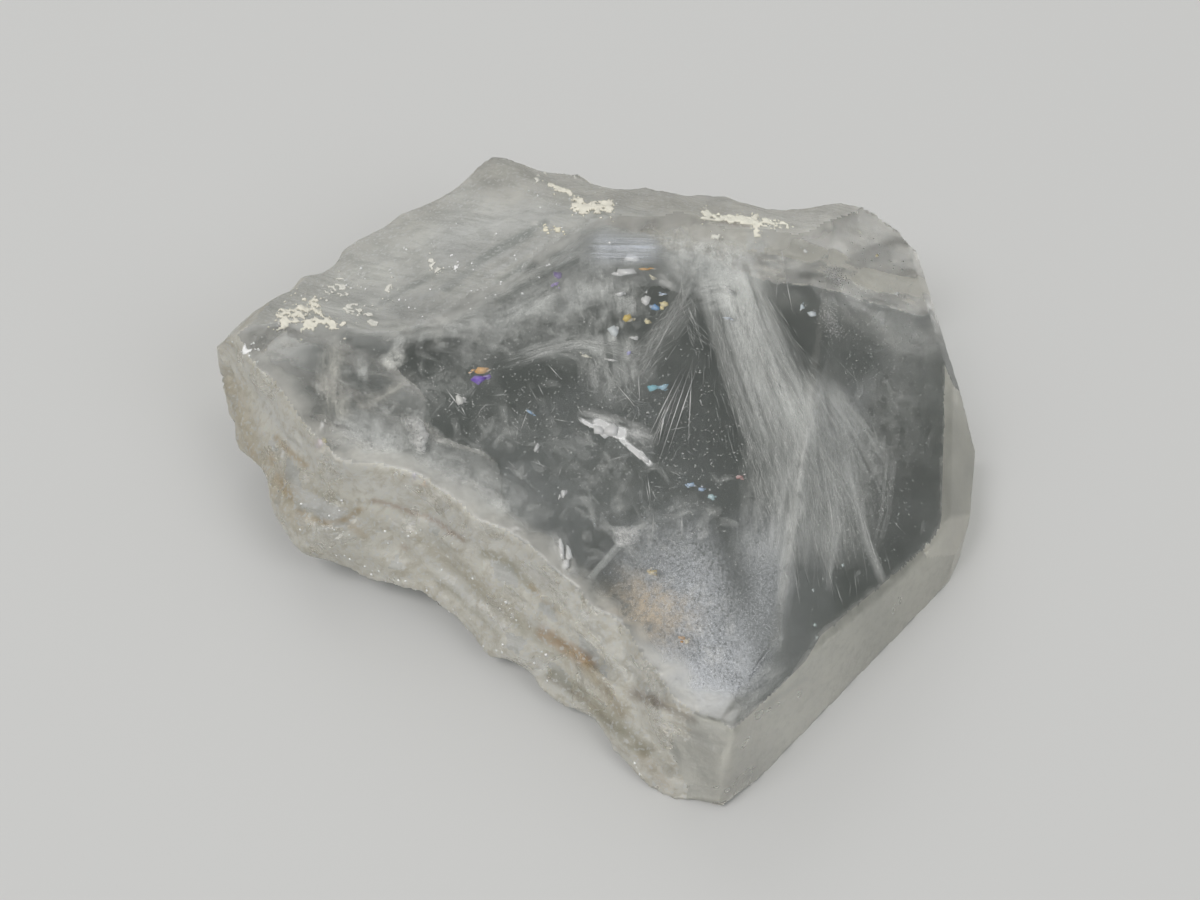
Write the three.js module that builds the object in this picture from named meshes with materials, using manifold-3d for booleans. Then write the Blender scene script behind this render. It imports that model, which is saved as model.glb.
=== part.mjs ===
// A goshenite crystal: one loose piece of colourless beryl, partly bounded by its own flat
// growth faces and partly by broken, ledged fracture faces. It lies on a flat underside.
// Units are millimetres and degrees, +Z is up.
import * as THREE from "three";
import { mergeVertices } from "three/addons/utils/BufferGeometryUtils.js";
import Module from "manifold-3d";

const wasm = await Module();
wasm.setup();

// Driving dimensions

// The point that every face's reach is measured from, 4 mm above the underside.
const HEART = new THREE.Vector3(0, 0, 4);
// The rough block that all the faces are cut from.
const BLOCK = { width: 46, depth: 44, height: 16 };

// A face looks along a bearing (anticlockwise from +X, seen from above), tilted above the
// horizontal, and lies at its reach from the heart.
const GROWTH_FACES = {
  top: { bearing: 278, tilt: 83.6, reach: 3.74 },
  rightSlope: { bearing: 337.4, tilt: 64.3, reach: 7.33 },
  rightBevel: { bearing: 348, tilt: 36, reach: 14.0 },
  rightFoot: { bearing: 350, tilt: -4, reach: 18.7 },
  rightBack: { bearing: 9.8, tilt: 8, reach: 18.65 },
  frontRight: { bearing: 318.2, tilt: 6, reach: 15.95 },
  backCorner: { bearing: 48, tilt: 8, reach: 20.65 },
  tipBevel: { bearing: 319, tilt: 55, reach: 10.1 },
};

// Edges between two growth faces, each worn back by this much.
const WORN_EDGES = [
  { between: ["top", "rightSlope"], wear: 0.015 },
  { between: ["rightSlope", "rightBevel"], wear: 0.08 },
  { between: ["rightSlope", "frontRight"], wear: 0.15 },
  { between: ["rightBevel", "frontRight"], wear: 0.35 },
  { between: ["rightSlope", "rightBack"], wear: 0.3 },
  { between: ["rightFoot", "frontRight"], wear: 0.25 },
];

// Broken faces also have ledges, each a step outward below a level that falls and wanders along
// the face; swells, each a wave with its height, its length along the face and its length up the
// face; and lumps or hollows, each at a place along and up the face with its height and radius.
const BROKEN_FACES = {
  frontLeft: {
    bearing: 231.7, tilt: 15, reach: 9.15, grain: 0.6,
    ledges: [
      { level: -1.6, fall: 0, step: 0.5, wander: 0.75, stretch: 15, start: -3.75 },
      { level: -3.9, fall: 0.12, step: 0.45, wander: 0.3, stretch: 9, start: 0 },
    ],
    swells: [[0.16, 6.4, 9, 2.0], [0.09, -3.7, 5, 0.4], [0.05, 2.3, 3.1, 1.4]],
    lumps: [
      [-8.3, -4.4, 1.9, 3.2],
      [-9.2, 0.8, 1.65, 4.4],
      [12.6, -0.8, 1.3, 3.8],
      [12.5, -5.5, 0.3, 2.5],
    ],
  },
  frontTip: {
    bearing: 248, tilt: 12, reach: 13.8,
    ledges: [],
    swells: [[0.08, 4.4, 8, 0.2]],
    lumps: [],
  },
  leftEnd: {
    bearing: 203.4, tilt: 1, reach: 16.3,
    ledges: [],
    swells: [[0.25, 9, 14, 0.3], [0.12, 4.1, 6, 1.3]],
    lumps: [[-9.8, 1.2, -0.7, 1.3]],
  },
  leftTip: {
    bearing: 140, tilt: 40, reach: 15.4,
    ledges: [],
    swells: [[0.1, 5, 8, 0.5]],
    lumps: [],
  },
  leftBack: {
    bearing: 145, tilt: -6, reach: 18.1,
    ledges: [{ level: -1.0, fall: 0.1, step: -0.6, wander: 0.5, stretch: 12, start: 2 }],
    swells: [[0.25, 10, 18, 0.9], [0.14, -5.3, 6, 1.1], [0.07, 3.1, 4, 0.2]],
    lumps: [],
  },
  backLeft: {
    bearing: 127, tilt: -8, reach: 17.6,
    ledges: [{ level: -1.0, fall: -0.1, step: -0.9, wander: 0.7, stretch: 14, start: 0 }],
    swells: [[0.25, 12, 18, 0.2], [0.14, -5.6, 7, 1.9], [0.07, 2.9, 4, 0.8]],
    lumps: [],
  },
  back: {
    bearing: 76.5, tilt: -6, reach: 15.4,
    ledges: [{ level: -0.5, fall: 0.05, step: -0.8, wander: 0.6, stretch: 13, start: 4 }],
    swells: [[0.2, 14, 20, 2.6], [0.13, -6, 8, 0.7], [0.07, 3.3, 4, 1.5]],
    lumps: [],
  },
  backRim: {
    bearing: 80, tilt: 70, reach: 8.77,
    ledges: [],
    swells: [[0.15, 9, 16, 0.5], [0.1, 4, 7, 1.7]],
    lumps: [[-11.5, -13.6, 0.7, 2.6]],
  },
  underLeft: {
    bearing: 210, tilt: -73, reach: 5.46,
    ledges: [],
    swells: [[0.18, 13, -17, 1.1], [0.12, -7, 9, 0.1], [0.06, 4.1, 3.3, 2.6]],
    lumps: [[-1.2, 12.6, 0.6, 3]],
  },
  underBack: {
    bearing: 108, tilt: -68, reach: 7.4,
    ledges: [],
    swells: [[0.2, 11, 14, 0.6], [0.12, -6.1, 8, 2.2], [0.06, 3.6, 4.4, 1.0]],
    lumps: [],
  },
};

// Two shallow broken slopes at the back left that meet in an inward bend.
const BENT_SLOPE = [
  {
    bearing: 135.5, tilt: 73.2, reach: 7.13,
    ledges: [],
    swells: [[0.15, 17, 30, 0.0], [0.08, -6, 9, 1.2], [0.04, 3.4, 4.6, 0.6]],
    lumps: [[-9.5, -14.5, 1.2, 2.8]],
  },
  {
    bearing: 84.7, tilt: 69.1, reach: 5.24,
    ledges: [],
    swells: [[0.12, 13, 20, 0.9], [0.07, -5, 7, 2.4]],
    lumps: [],
  },
];

// Shell-shaped chips out of the rims, each at a point on an edge, knocked in along a bearing and
// tilt to a depth, with the radius of its hollow.
const CHIPS = [
  { at: [0.8, 15.6, 7.7], bearing: 78, tilt: 35, radius: 4, depth: 0.45 },
  { at: [3.9, 14.9, 7.8], bearing: 84, tilt: 30, radius: 2.6, depth: 0.4 },
  { at: [9.2, 14.2, 7.9], bearing: 76, tilt: 28, radius: 6.5, depth: 0.8 },
  { at: [-8.6, 16.0, 6.6], bearing: 127, tilt: 15, radius: 5, depth: 0.35 },
  { at: [-14.6, 10.8, 6.2], bearing: 140, tilt: 20, radius: 3, depth: 0.35 },
  { at: [-18.5, 3.3, 5.0], bearing: 195, tilt: 0, radius: 1.3, depth: 0.6 },
  { at: [-8.5, -5.0, 7.35], bearing: 236, tilt: 48, radius: 1.7, depth: 0.4 },
  { at: [-3.4, -8.6, 6.9], bearing: 230, tilt: 45, radius: 2.0, depth: 0.3 },
  { at: [0.9, -13.1, 6.35], bearing: 232, tilt: 40, radius: 2.0, depth: 0.3 },
  { at: [-7.3, -8.3, 1.5], bearing: 232, tilt: -20, radius: 3.4, depth: 0.2 },
  { at: [-3.7, -11.2, 1.1], bearing: 228, tilt: -25, radius: 2.8, depth: 0.22 },
  { at: [-0.6, -13.6, 0.6], bearing: 235, tilt: -20, radius: 3, depth: 0.2 },
  { at: [15.9, -6.2, 4.0], bearing: 330, tilt: 35, radius: 1.6, depth: 0.2 },
  { at: [16.4, 11.9, 7.0], bearing: 40, tilt: 30, radius: 2.2, depth: 0.3 },
];
const CHIP_SEGMENTS = { around: 28, over: 18 };

// Grid spacing of a broken face that has no finer grain of its own, the size of a cutting tool,
// and half the width of a ledge's riser.
const GRAIN = 0.9;
const TOOL = { span: 50, depth: 24 };
const LEDGE_EDGE = 0.3;

// Solids

function solidOf(geometry) {
  const bare = geometry.clone();
  bare.deleteAttribute("normal");
  bare.deleteAttribute("uv");
  const merged = mergeVertices(bare, 1e-4);
  return new wasm.Manifold(
    new wasm.Mesh({
      numProp: 3,
      vertProperties: new Float32Array(merged.attributes.position.array),
      triVerts: new Uint32Array(merged.index.array),
    }),
  );
}

function geometryOf(solid) {
  const { vertProperties, triVerts } = solid.getMesh();
  const geometry = new THREE.BufferGeometry();
  geometry.setAttribute("position", new THREE.BufferAttribute(vertProperties, 3));
  geometry.setIndex(new THREE.BufferAttribute(triVerts, 1));
  geometry.computeVertexNormals();
  return geometry;
}

// Faces

function outwardNormal({ bearing, tilt }) {
  const b = THREE.MathUtils.degToRad(bearing);
  const t = THREE.MathUtils.degToRad(tilt);
  return new THREE.Vector3(Math.cos(t) * Math.cos(b), Math.cos(t) * Math.sin(b), Math.sin(t));
}

// The face's own frame: X along its strike, Y up its slope, Z out of the crystal.
function frameOf(face) {
  const out = outwardNormal(face);
  const strike = new THREE.Vector3(0, 0, 1).cross(out).normalize();
  const upSlope = out.clone().cross(strike);
  return new THREE.Matrix4()
    .makeBasis(strike, upSlope, out)
    .setPosition(HEART.clone().addScaledVector(out, face.reach));
}

function reliefOf({ ledges, swells, lumps }) {
  return (along, up) => {
    let height = 0;
    for (const [size, lengthAlong, lengthUp, phase] of swells) {
      height += size * Math.sin(2 * Math.PI * (along / lengthAlong + up / lengthUp) + phase);
    }
    for (const { level, fall, step, wander, stretch, start } of ledges) {
      const bend = wander * Math.sin((2 * Math.PI * (along - start)) / stretch);
      const edge = level - fall * along + bend;
      height += step * (1 - THREE.MathUtils.smoothstep(up, edge - LEDGE_EDGE, edge + LEDGE_EDGE));
    }
    for (const [lumpAlong, lumpUp, size, radius] of lumps) {
      const away = Math.hypot(along - lumpAlong, up - lumpUp) / radius;
      height += size * Math.exp(-away * away);
    }
    return height;
  };
}

// Everything beyond a face, as a solid to cut away.
function beyond(face) {
  const broken = face.swells !== undefined;
  const cells = broken ? Math.round(TOOL.span / (face.grain ?? GRAIN)) : 1;
  const tool = new THREE.BoxGeometry(TOOL.span, TOOL.span, TOOL.depth, cells, cells, 1);
  tool.translate(0, 0, TOOL.depth / 2);
  if (broken) {
    const relief = reliefOf(face);
    const at = tool.attributes.position;
    for (let i = 0; i < at.count; i++) {
      if (at.getZ(i) < TOOL.depth / 2) at.setZ(i, relief(at.getX(i), at.getY(i)));
    }
  }
  return solidOf(tool.applyMatrix4(frameOf(face)));
}

// The narrow flat that wear leaves along the edge between two faces.
function wornEdge(first, second, wear) {
  const sum = outwardNormal(first).add(outwardNormal(second));
  const spread = sum.length();
  const out = sum.normalize();
  return {
    bearing: THREE.MathUtils.radToDeg(Math.atan2(out.y, out.x)),
    tilt: THREE.MathUtils.radToDeg(Math.asin(out.z)),
    reach: (first.reach + second.reach) / spread - wear,
  };
}

// The ball that hollows out a chip.
function hollowOf({ at, bearing, tilt, radius, depth }) {
  const ball = new THREE.SphereGeometry(radius, CHIP_SEGMENTS.around, CHIP_SEGMENTS.over);
  const out = outwardNormal({ bearing, tilt });
  const centre = new THREE.Vector3(...at).addScaledVector(out, radius - depth);
  return solidOf(ball.translate(centre.x, centre.y, centre.z));
}

function cutCrystal() {
  const block = new THREE.BoxGeometry(BLOCK.width, BLOCK.depth, BLOCK.height);
  let crystal = solidOf(block.translate(0, 0, BLOCK.height / 2));
  const worn = WORN_EDGES.map(({ between: [a, b], wear }) =>
    wornEdge(GROWTH_FACES[a], GROWTH_FACES[b], wear),
  );
  for (const face of [...Object.values(GROWTH_FACES), ...worn, ...Object.values(BROKEN_FACES)]) {
    crystal = crystal.subtract(beyond(face));
  }
  const [first, second] = BENT_SLOPE.map(beyond);
  crystal = crystal.subtract(first.intersect(second));
  for (const chip of CHIPS) {
    crystal = crystal.subtract(hollowOf(chip));
  }
  return geometryOf(crystal);
}

// The part stands on its underside, with the origin below the middle of its outline.
const geometry = cutCrystal();
geometry.computeBoundingBox();
const { min, max } = geometry.boundingBox;

const crystal = new THREE.Mesh(
  geometry,
  new THREE.MeshStandardMaterial({ color: 0xe4e6e2, roughness: 0.25, metalness: 0 }),
);
crystal.name = "crystal";
crystal.position.set(-(min.x + max.x) / 2, -(min.y + max.y) / 2, -min.z);

const goshenite = new THREE.Group();
goshenite.add(crystal);

export default goshenite;
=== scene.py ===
import bmesh
import bpy
import math
import numpy as np
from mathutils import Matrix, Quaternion, Vector
from mathutils.bvhtree import BVHTree
from mathutils.kdtree import KDTree


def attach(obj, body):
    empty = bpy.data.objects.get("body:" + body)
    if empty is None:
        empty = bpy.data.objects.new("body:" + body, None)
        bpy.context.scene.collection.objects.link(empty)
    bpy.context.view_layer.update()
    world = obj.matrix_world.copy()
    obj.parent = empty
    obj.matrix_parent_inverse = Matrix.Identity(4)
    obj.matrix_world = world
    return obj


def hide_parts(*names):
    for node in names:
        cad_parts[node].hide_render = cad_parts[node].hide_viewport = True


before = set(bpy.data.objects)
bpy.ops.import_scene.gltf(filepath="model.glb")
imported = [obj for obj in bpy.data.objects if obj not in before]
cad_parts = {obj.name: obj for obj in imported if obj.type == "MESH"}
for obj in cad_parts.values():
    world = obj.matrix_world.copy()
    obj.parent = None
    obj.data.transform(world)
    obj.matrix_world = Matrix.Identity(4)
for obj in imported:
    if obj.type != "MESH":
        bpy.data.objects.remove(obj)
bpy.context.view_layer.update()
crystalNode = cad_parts["crystal"]
scene = bpy.context.scene
mm = 0.001

# camera, at the photograph's angle
cameraView = {
    "aim": (0.113, 0.227, 4.0),  # mm
    "elevation": 50.0,
    "distance": 100.0,  # mm
    "lens": 60.0,
    "sensor": 36.0,
    "clipStart": 0.001,  # metres
    "pixels": (1200, 900),
}
tilt = math.radians(cameraView["elevation"])
lookAlong = np.array((0.0, math.cos(tilt), -math.sin(tilt)))
lookRight = np.array((1.0, 0.0, 0.0))
lookUp = np.array((0.0, math.sin(tilt), math.cos(tilt)))
eye = np.array(cameraView["aim"]) - lookAlong * cameraView["distance"]  # mm
focalPixels = cameraView["lens"] / cameraView["sensor"] * cameraView["pixels"][0]


def makeCamera(view):
    camera = bpy.data.objects.new("camera", bpy.data.cameras.new("camera"))
    camera.data.lens = view["lens"]
    camera.data.sensor_width = view["sensor"]
    camera.data.clip_start = view["clipStart"]
    camera.location = eye * mm
    camera.rotation_euler = (math.pi / 2 - tilt, 0, 0)
    scene.collection.objects.link(camera)
    scene.camera = camera
    return camera


def pixelRay(px, py):
    wide, high = cameraView["pixels"]
    along = lookAlong + lookRight * ((px - wide / 2) / focalPixels)
    along = along + lookUp * ((high / 2 - py) / focalPixels)
    return Vector(along).normalized()


def toPixels(pointsMm):
    wide, high = cameraView["pixels"]
    away = pointsMm - eye
    depth = away @ lookAlong
    u = wide / 2 + focalPixels * (away @ lookRight) / depth
    v = high / 2 - focalPixels * (away @ lookUp) / depth
    return u, v


camera = makeCamera(cameraView)
print("camera at", [round(c, 4) for c in camera.location])


# noise over points in mm, the same on every run
noiseSeed = {
    "waves": 3, "grain": 5, "ledgeBend": 9, "ledgeShow": 13, "dents": 21, "ledgeBlur": 33, "patch": 41,
    "depth": 43, "stainBlur": 51, "stainDrift": 57, "hiddenStain": 61, "stainMottle": 63, "streaks": 67,
    "frostWander": 81, "tipRagged": 83, "clayClumps": 95, "clayKnobs": 97, "clayTone": 99,
}
noiseLayer = {"share": 0.5, "norm": 1.6}  # strength of each finer layer, what their sum is divided by


def latticeValue(ix, iy, iz, seed):  # an integer hash of the cell
    h = ix.astype(np.uint32) * np.uint32(374761393)
    h ^= iy.astype(np.uint32) * np.uint32(668265263)
    h ^= iz.astype(np.uint32) * np.uint32(2147483647)
    h += np.uint32((seed * 974711 + 101) % 4294967295)
    h = (h ^ (h >> np.uint32(13))) * np.uint32(1274126177)
    h = (h ^ (h >> np.uint32(15))) * np.uint32(2246822519)
    h ^= h >> np.uint32(16)
    return h.astype(np.float64) / 4294967295.0 * 2 - 1


def smoothNoise(points, size, seed):
    p = np.asarray(points, float) / size
    cell = np.floor(p).astype(np.int64)
    f = p - cell
    f = f * f * (3 - 2 * f)
    total = np.zeros(len(p))
    for dx in (0, 1):
        for dy in (0, 1):
            for dz in (0, 1):
                weight = f[:, 0] if dx else 1 - f[:, 0]
                weight = weight * (f[:, 1] if dy else 1 - f[:, 1])
                weight = weight * (f[:, 2] if dz else 1 - f[:, 2])
                total += weight * latticeValue(cell[:, 0] + dx, cell[:, 1] + dy, cell[:, 2] + dz, seed)
    return total


def layeredNoise(points, size, seed, layers=4):
    total = np.zeros(len(points))
    strength = 1.0
    for layer in range(layers):
        total += strength * smoothNoise(points, size / 2 ** layer, seed + 17 * layer)
        strength *= noiseLayer["share"]
    return total / noiseLayer["norm"]


def ramp(values, low, high):
    t = np.clip((values - low) / (high - low), 0, 1)
    return t * t * (3 - 2 * t)


# the solid's own faces, found again by the way they look: bearing and tilt in degrees
growthFaces = {
    "top": (278, 83.6),
    "rightSlope": (337.4, 64.3),
    "tipBevel": (319, 55),
    "rightBevel": (348, 36),
    "rightFoot": (350, -4),
    "rightBack": (9.8, 8),
    "frontRight": (318.2, 6),
    "backCorner": (48, 8),
    "base": (0, -90),
}
sideFaces = ("frontRight", "rightBevel", "rightFoot")
faceMatch = {"level": 0.78, "degrees": 0.8}  # upward share of a level broken face, slack of a growth face
edgeRead = {"spacing": 0.01, "bend": 0.15, "weld": 1e-7}  # mm, radians, metres
edgeKinds = {  # how the edge between two faces is worn, crisp where it isn't named
    frozenset(("broken", "frontRight")): "tip",
    frozenset(("broken", "top")): "rim",
    frozenset(("slope", "top")): "rim",
}
wornEdges = {  # narrow bevels along an edge, and the face that each goes with
    ("top", "rightSlope"): "rightSlope",
    ("rightSlope", "rightBevel"): "rightBevel",
    ("rightSlope", "frontRight"): "frontRight",
    ("rightBevel", "frontRight"): "rightBevel",
    ("rightSlope", "rightBack"): "rightSlope",
    ("rightFoot", "frontRight"): "rightFoot",
}


def lookVector(bearing, tiltUp):
    b, t = math.radians(bearing), math.radians(tiltUp)
    return np.array((math.cos(t) * math.cos(b), math.cos(t) * math.sin(b), math.sin(t)))


def nameFaces(facing):
    near = math.cos(math.radians(faceMatch["degrees"]))
    names = np.full(len(facing), "broken", dtype=object)
    names[facing[:, 2] > faceMatch["level"]] = "slope"
    names[facing[:, 2] < -faceMatch["level"]] = "under"
    for name, (bearing, tiltUp) in growthFaces.items():
        names[facing @ lookVector(bearing, tiltUp) > near] = name
    for (first, second), name in wornEdges.items():
        between = lookVector(*growthFaces[first]) + lookVector(*growthFaces[second])
        names[facing @ between > near * np.linalg.norm(between)] = name
    return names


def readSolid():
    mesh = crystalNode.data
    corners = [v.co.copy() for v in mesh.vertices]
    polygons = [tuple(p.vertices) for p in mesh.polygons]
    names = nameFaces(np.array([p.normal for p in mesh.polygons]))
    sides = [polygon for polygon, name in zip(polygons, names) if name in sideFaces]
    return BVHTree.FromPolygons(corners, polygons), names, BVHTree.FromPolygons(corners, sides)


def treeOf(spots):
    tree = KDTree(len(spots))
    for i, spot in enumerate(spots):
        tree.insert(spot, i)
    tree.balance()
    return tree


def readOutlines():
    solid = bmesh.new()
    solid.from_mesh(crystalNode.data)
    bmesh.ops.remove_doubles(solid, verts=solid.verts, dist=edgeRead["weld"])
    solid.faces.index_update()
    names = nameFaces(np.array([face.normal for face in solid.faces]))
    lines = {"crisp": [], "rim": [], "tip": []}
    for edge in solid.edges:
        if len(edge.link_faces) != 2 or edge.calc_face_angle() < edgeRead["bend"]:
            continue
        pair = frozenset(names[face.index] for face in edge.link_faces)
        if len(pair) < 2 or "under" in pair or not pair & set(growthFaces):
            continue
        a, b = (corner.co.copy() for corner in edge.verts)
        steps = max(int((b - a).length / (edgeRead["spacing"] * mm)), 1)
        lines[edgeKinds.get(pair, "crisp")] += [a.lerp(b, k / steps) for k in range(steps + 1)]
    solid.free()
    return {kind: treeOf(spots) for kind, spots in lines.items()}


solidTree, solidFaces, sideTree = readSolid()
outlines = readOutlines()
print("solid faces", {k: int((solidFaces == k).sum()) for k in sorted(set(solidFaces))})


# strokes: a path in the photograph's pixels with a half width at each end
strokeScatter = {"ends": 0.35, "sides": 0.5}  # spread past the ends and across, in half widths
patchLevel = 31.7  # where the patches' noise is cut


def pathEnds(path):
    return np.concatenate(([0], np.cumsum(np.hypot(*np.diff(path, axis=0).T))))


def patchCover(pixels, patch, level):
    size, low, high = patch
    spots = np.column_stack((pixels, np.full(len(pixels), level)))
    return ramp(layeredNoise(spots, size, noiseSeed["patch"], 3), low, high)


def strokeWeight(u, v, stroke):
    path = np.array(stroke["path"], float)
    first, last = stroke["half"]
    steps = len(path) - 1
    best = np.zeros(len(u))
    for i in range(steps):
        a, b = path[i], path[i + 1]
        run = b - a
        t = np.clip(((u - a[0]) * run[0] + (v - a[1]) * run[1]) / max(run @ run, 1e-9), 0, 1)
        gap = np.hypot(u - a[0] - t * run[0], v - a[1] - t * run[1])
        half = first + (last - first) * (i + t) / steps
        best = np.maximum(best, 1 - gap / half)
    return np.clip(best, 0, 1)


def strokeSamples(stroke, rng):
    path = np.array(stroke["path"], float)
    runs = np.diff(path, axis=0)
    ends = pathEnds(path)
    count = stroke["count"]
    first, last = stroke["half"]
    at = rng.random(count) * ends[-1]
    half = first + (last - first) * at / ends[-1]
    at = at + rng.normal(0, strokeScatter["ends"], count) * half
    seg = np.clip(np.searchsorted(ends, at, side="right") - 1, 0, len(runs) - 1)
    ahead = runs[seg] / np.hypot(runs[:, 0], runs[:, 1])[seg][:, None]
    across = np.stack((-ahead[:, 1], ahead[:, 0]), axis=1)
    side = rng.normal(0, strokeScatter["sides"], count)
    pixels = path[seg] + ahead * (at - ends[seg])[:, None] + across * (side * half)[:, None]
    heading = ahead + across * (side * (last - first) / ends[-1])[:, None]
    angle = np.arctan2(heading[:, 1], heading[:, 0])
    angle = angle + rng.normal(0, math.radians(stroke["spread"]), count)
    if stroke["patch"]:
        keep = rng.random(count) < patchCover(pixels, stroke["patch"], patchLevel)
        pixels, angle = pixels[keep], angle[keep]
    return pixels, angle


def strokeGrid(path, half, rows, columns, rounds=0):
    ends = pathEnds(path)
    at = np.linspace(0, ends[-1], rows)
    spine = np.column_stack([np.interp(at, ends, path[:, k]) for k in range(2)])
    for _ in range(rounds):  # round the bends
        spine[1:-1] = (spine[:-2] + 2 * spine[1:-1] + spine[2:]) / 4
    ahead = np.gradient(spine, axis=0)
    ahead /= np.hypot(ahead[:, 0], ahead[:, 1])[:, None]
    across = np.column_stack((-ahead[:, 1], ahead[:, 0]))
    first, last = half
    wide = first + (last - first) * (at / ends[-1])
    side = np.linspace(-1, 1, columns)
    pixels = spine[:, None] + across[:, None] * (wide[:, None] * side[None])[:, :, None]
    return at, wide, side, pixels.reshape(-1, 2)


# the crystal's skin
crystalShape = {
    "voxel": 0.19,  # mm
    "fade": 5,  # rounds of softening where broken faces begin
    "waves": (2.2, 0.07),  # size and height of the fracture's waves, mm
    "grain": (0.6, 0.03),
    "ledges": (0.9, 0.05),  # spacing and height of the fine ledges
    "ledgeLean": (0.25, 0.25, 0.9),  # the way the fine ledges are stacked
    "ledgeBend": (2.8, 0.7),  # size and height of their bends, mm
    "ledgeStep": (0.25, 0.55),  # share of the spacing where a ledge rises
    "ledgeShow": (3.0, -0.3, 0.5),  # patches where they show: size in mm, noise from none to whole
    "streaks": (231.7, 5.0, 0.55, 0.09),  # bearing they run across, length, width and height in mm
    "streakDip": 0.06,  # mm per mm along the face
    "slopeShare": 0.5,
    "worn": {"rim": (0.3, 1.0, 8), "tip": (0.8, 2.4, 40)},  # mm: whole within, none beyond; rounds
    "wornLeast": 0.05,  # share of wear from which an edge isn't sharp
    "faceDents": (2.6, 0.010),  # faint unevenness of the growth faces
    "brokenBand": (0.35, 0.95),  # softened share where the fracture starts and is whole
    "baseBand": (3, 0.2, 0.9),  # rounds of softening, then the same for the resting face
    "snapTurns": 6,
    "folded": 0.3,  # a polygon that faces the solid less than this is folded over
    "weld": 0.002,  # mm
    "onEdge": 0.001,  # mm
    "seenSlack": 0.3,  # mm
}


def makeSkin(shape):
    rough = bpy.data.objects.new("rough", crystalNode.data.copy())
    scene.collection.objects.link(rough)
    remesh = rough.modifiers.new("remesh", "REMESH")
    remesh.mode = "VOXEL"
    remesh.voxel_size = shape["voxel"] * mm
    remesh.adaptivity = 0
    evaluated = rough.evaluated_get(bpy.context.evaluated_depsgraph_get())
    mesh = bpy.data.meshes.new_from_object(evaluated)
    bpy.data.objects.remove(rough)
    mesh.name = "goshenite"
    mesh.materials.clear()
    return mesh


def readVertices(mesh, what):
    flat = np.zeros(len(mesh.vertices) * 3)
    mesh.vertices.foreach_get(what, flat)
    return flat.reshape(-1, 3)


def writePoints(mesh, points):
    mesh.vertices.foreach_set("co", np.asarray(points, float).ravel())
    mesh.update()


def readEdges(mesh):
    flat = np.zeros(len(mesh.edges) * 2, dtype=np.int64)
    mesh.edges.foreach_get("vertices", flat)
    return flat.reshape(-1, 2)


def neighbourMean(values, edges):
    count = np.bincount(edges.ravel(), minlength=len(values)).astype(float)
    total = np.bincount(edges[:, 0], values[edges[:, 1]], len(values))
    return (total + np.bincount(edges[:, 1], values[edges[:, 0]], len(values))) / count


def soften(values, edges, rounds):
    for _ in range(rounds):
        values = 0.5 * values + 0.5 * neighbourMean(values, edges)
    return values


def ontoSolid(points):
    return np.array([solidTree.find_nearest(Vector(p))[0] for p in points])


def foldedPoints(mesh):
    loose = set()
    for polygon in mesh.polygons:
        if polygon.normal.dot(solidTree.find_nearest(polygon.center)[1]) < crystalShape["folded"]:
            loose.update(polygon.vertices)
    return sorted(loose)


def snapSkin(mesh, shape):
    flat = ontoSolid(readVertices(mesh, "co"))
    edges = readEdges(mesh)
    snapped = flat.copy()
    for i, p in enumerate(flat):  # crisp edges around the growth faces
        spot, index, gap = outlines["crisp"].find(p)
        if gap < shape["voxel"] / 2 * mm:
            snapped[i] = spot
    for turn in range(shape["snapTurns"]):
        writePoints(mesh, snapped)
        loose = foldedPoints(mesh)  # points that fold a face over are let go
        print("folded points", len(loose))
        if not loose:
            break
        middle = np.column_stack([neighbourMean(snapped[:, k], edges) for k in range(3)])
        snapped[loose] = flat[loose] if turn == 0 else ontoSolid(middle[loose])
    clean = bmesh.new()
    clean.from_mesh(mesh)
    bmesh.ops.dissolve_degenerate(clean, dist=shape["weld"] * mm, edges=clean.edges)
    clean.to_mesh(mesh)
    clean.free()


def wearEdge(points, edges, line, near, far, rounds):
    worn = 1 - ramp(np.array([line.find(p)[2] for p in points]) / mm, near, far)
    for _ in range(rounds):
        middle = np.column_stack([neighbourMean(points[:, k], edges) for k in range(3)])
        points = points + 0.5 * (middle - points) * worn[:, None]
    return points, worn


skin = makeSkin(crystalShape)
snapSkin(skin, crystalShape)
edges = readEdges(skin)
points = readVertices(skin, "co")
worn = np.zeros(len(points))
for kind, rounding in crystalShape["worn"].items():
    points, share = wearEdge(points, edges, outlines[kind], *rounding)
    worn = np.maximum(worn, share)
writePoints(skin, points)
faceOf = np.array([solidFaces[solidTree.find_nearest(Vector(p))[2]] for p in points], dtype=object)
onLine = np.array([outlines["crisp"].find(p)[2] < crystalShape["onEdge"] * mm for p in points])
onLine &= worn < crystalShape["wornLeast"]
sharp = onLine[edges[:, 0]] & onLine[edges[:, 1]]
skin.attributes.new("sharp_edge", "BOOLEAN", "EDGE").data.foreach_set("value", sharp)
facing = readVertices(skin, "normal")
broken = soften(np.isin(faceOf, ("broken", "slope", "under")).astype(float), edges, crystalShape["fade"])
broken = ramp(broken, *crystalShape["brokenBand"])
baseRounds, *baseBand = crystalShape["baseBand"]
onBase = ramp(soften((faceOf == "base").astype(float), edges, baseRounds), *baseBand)


def streakNoise(pointsMm, shape):
    bearing, length, width, height = shape["streaks"]
    out = lookVector(bearing, 0)
    strike = np.array((-out[1], out[0], 0.0))
    up = pointsMm[:, 2] + shape["streakDip"] * (pointsMm @ strike)
    laid = np.column_stack((pointsMm @ strike / length, up / width, pointsMm @ out / length))
    return layeredNoise(laid, 1.0, noiseSeed["streaks"])


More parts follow.
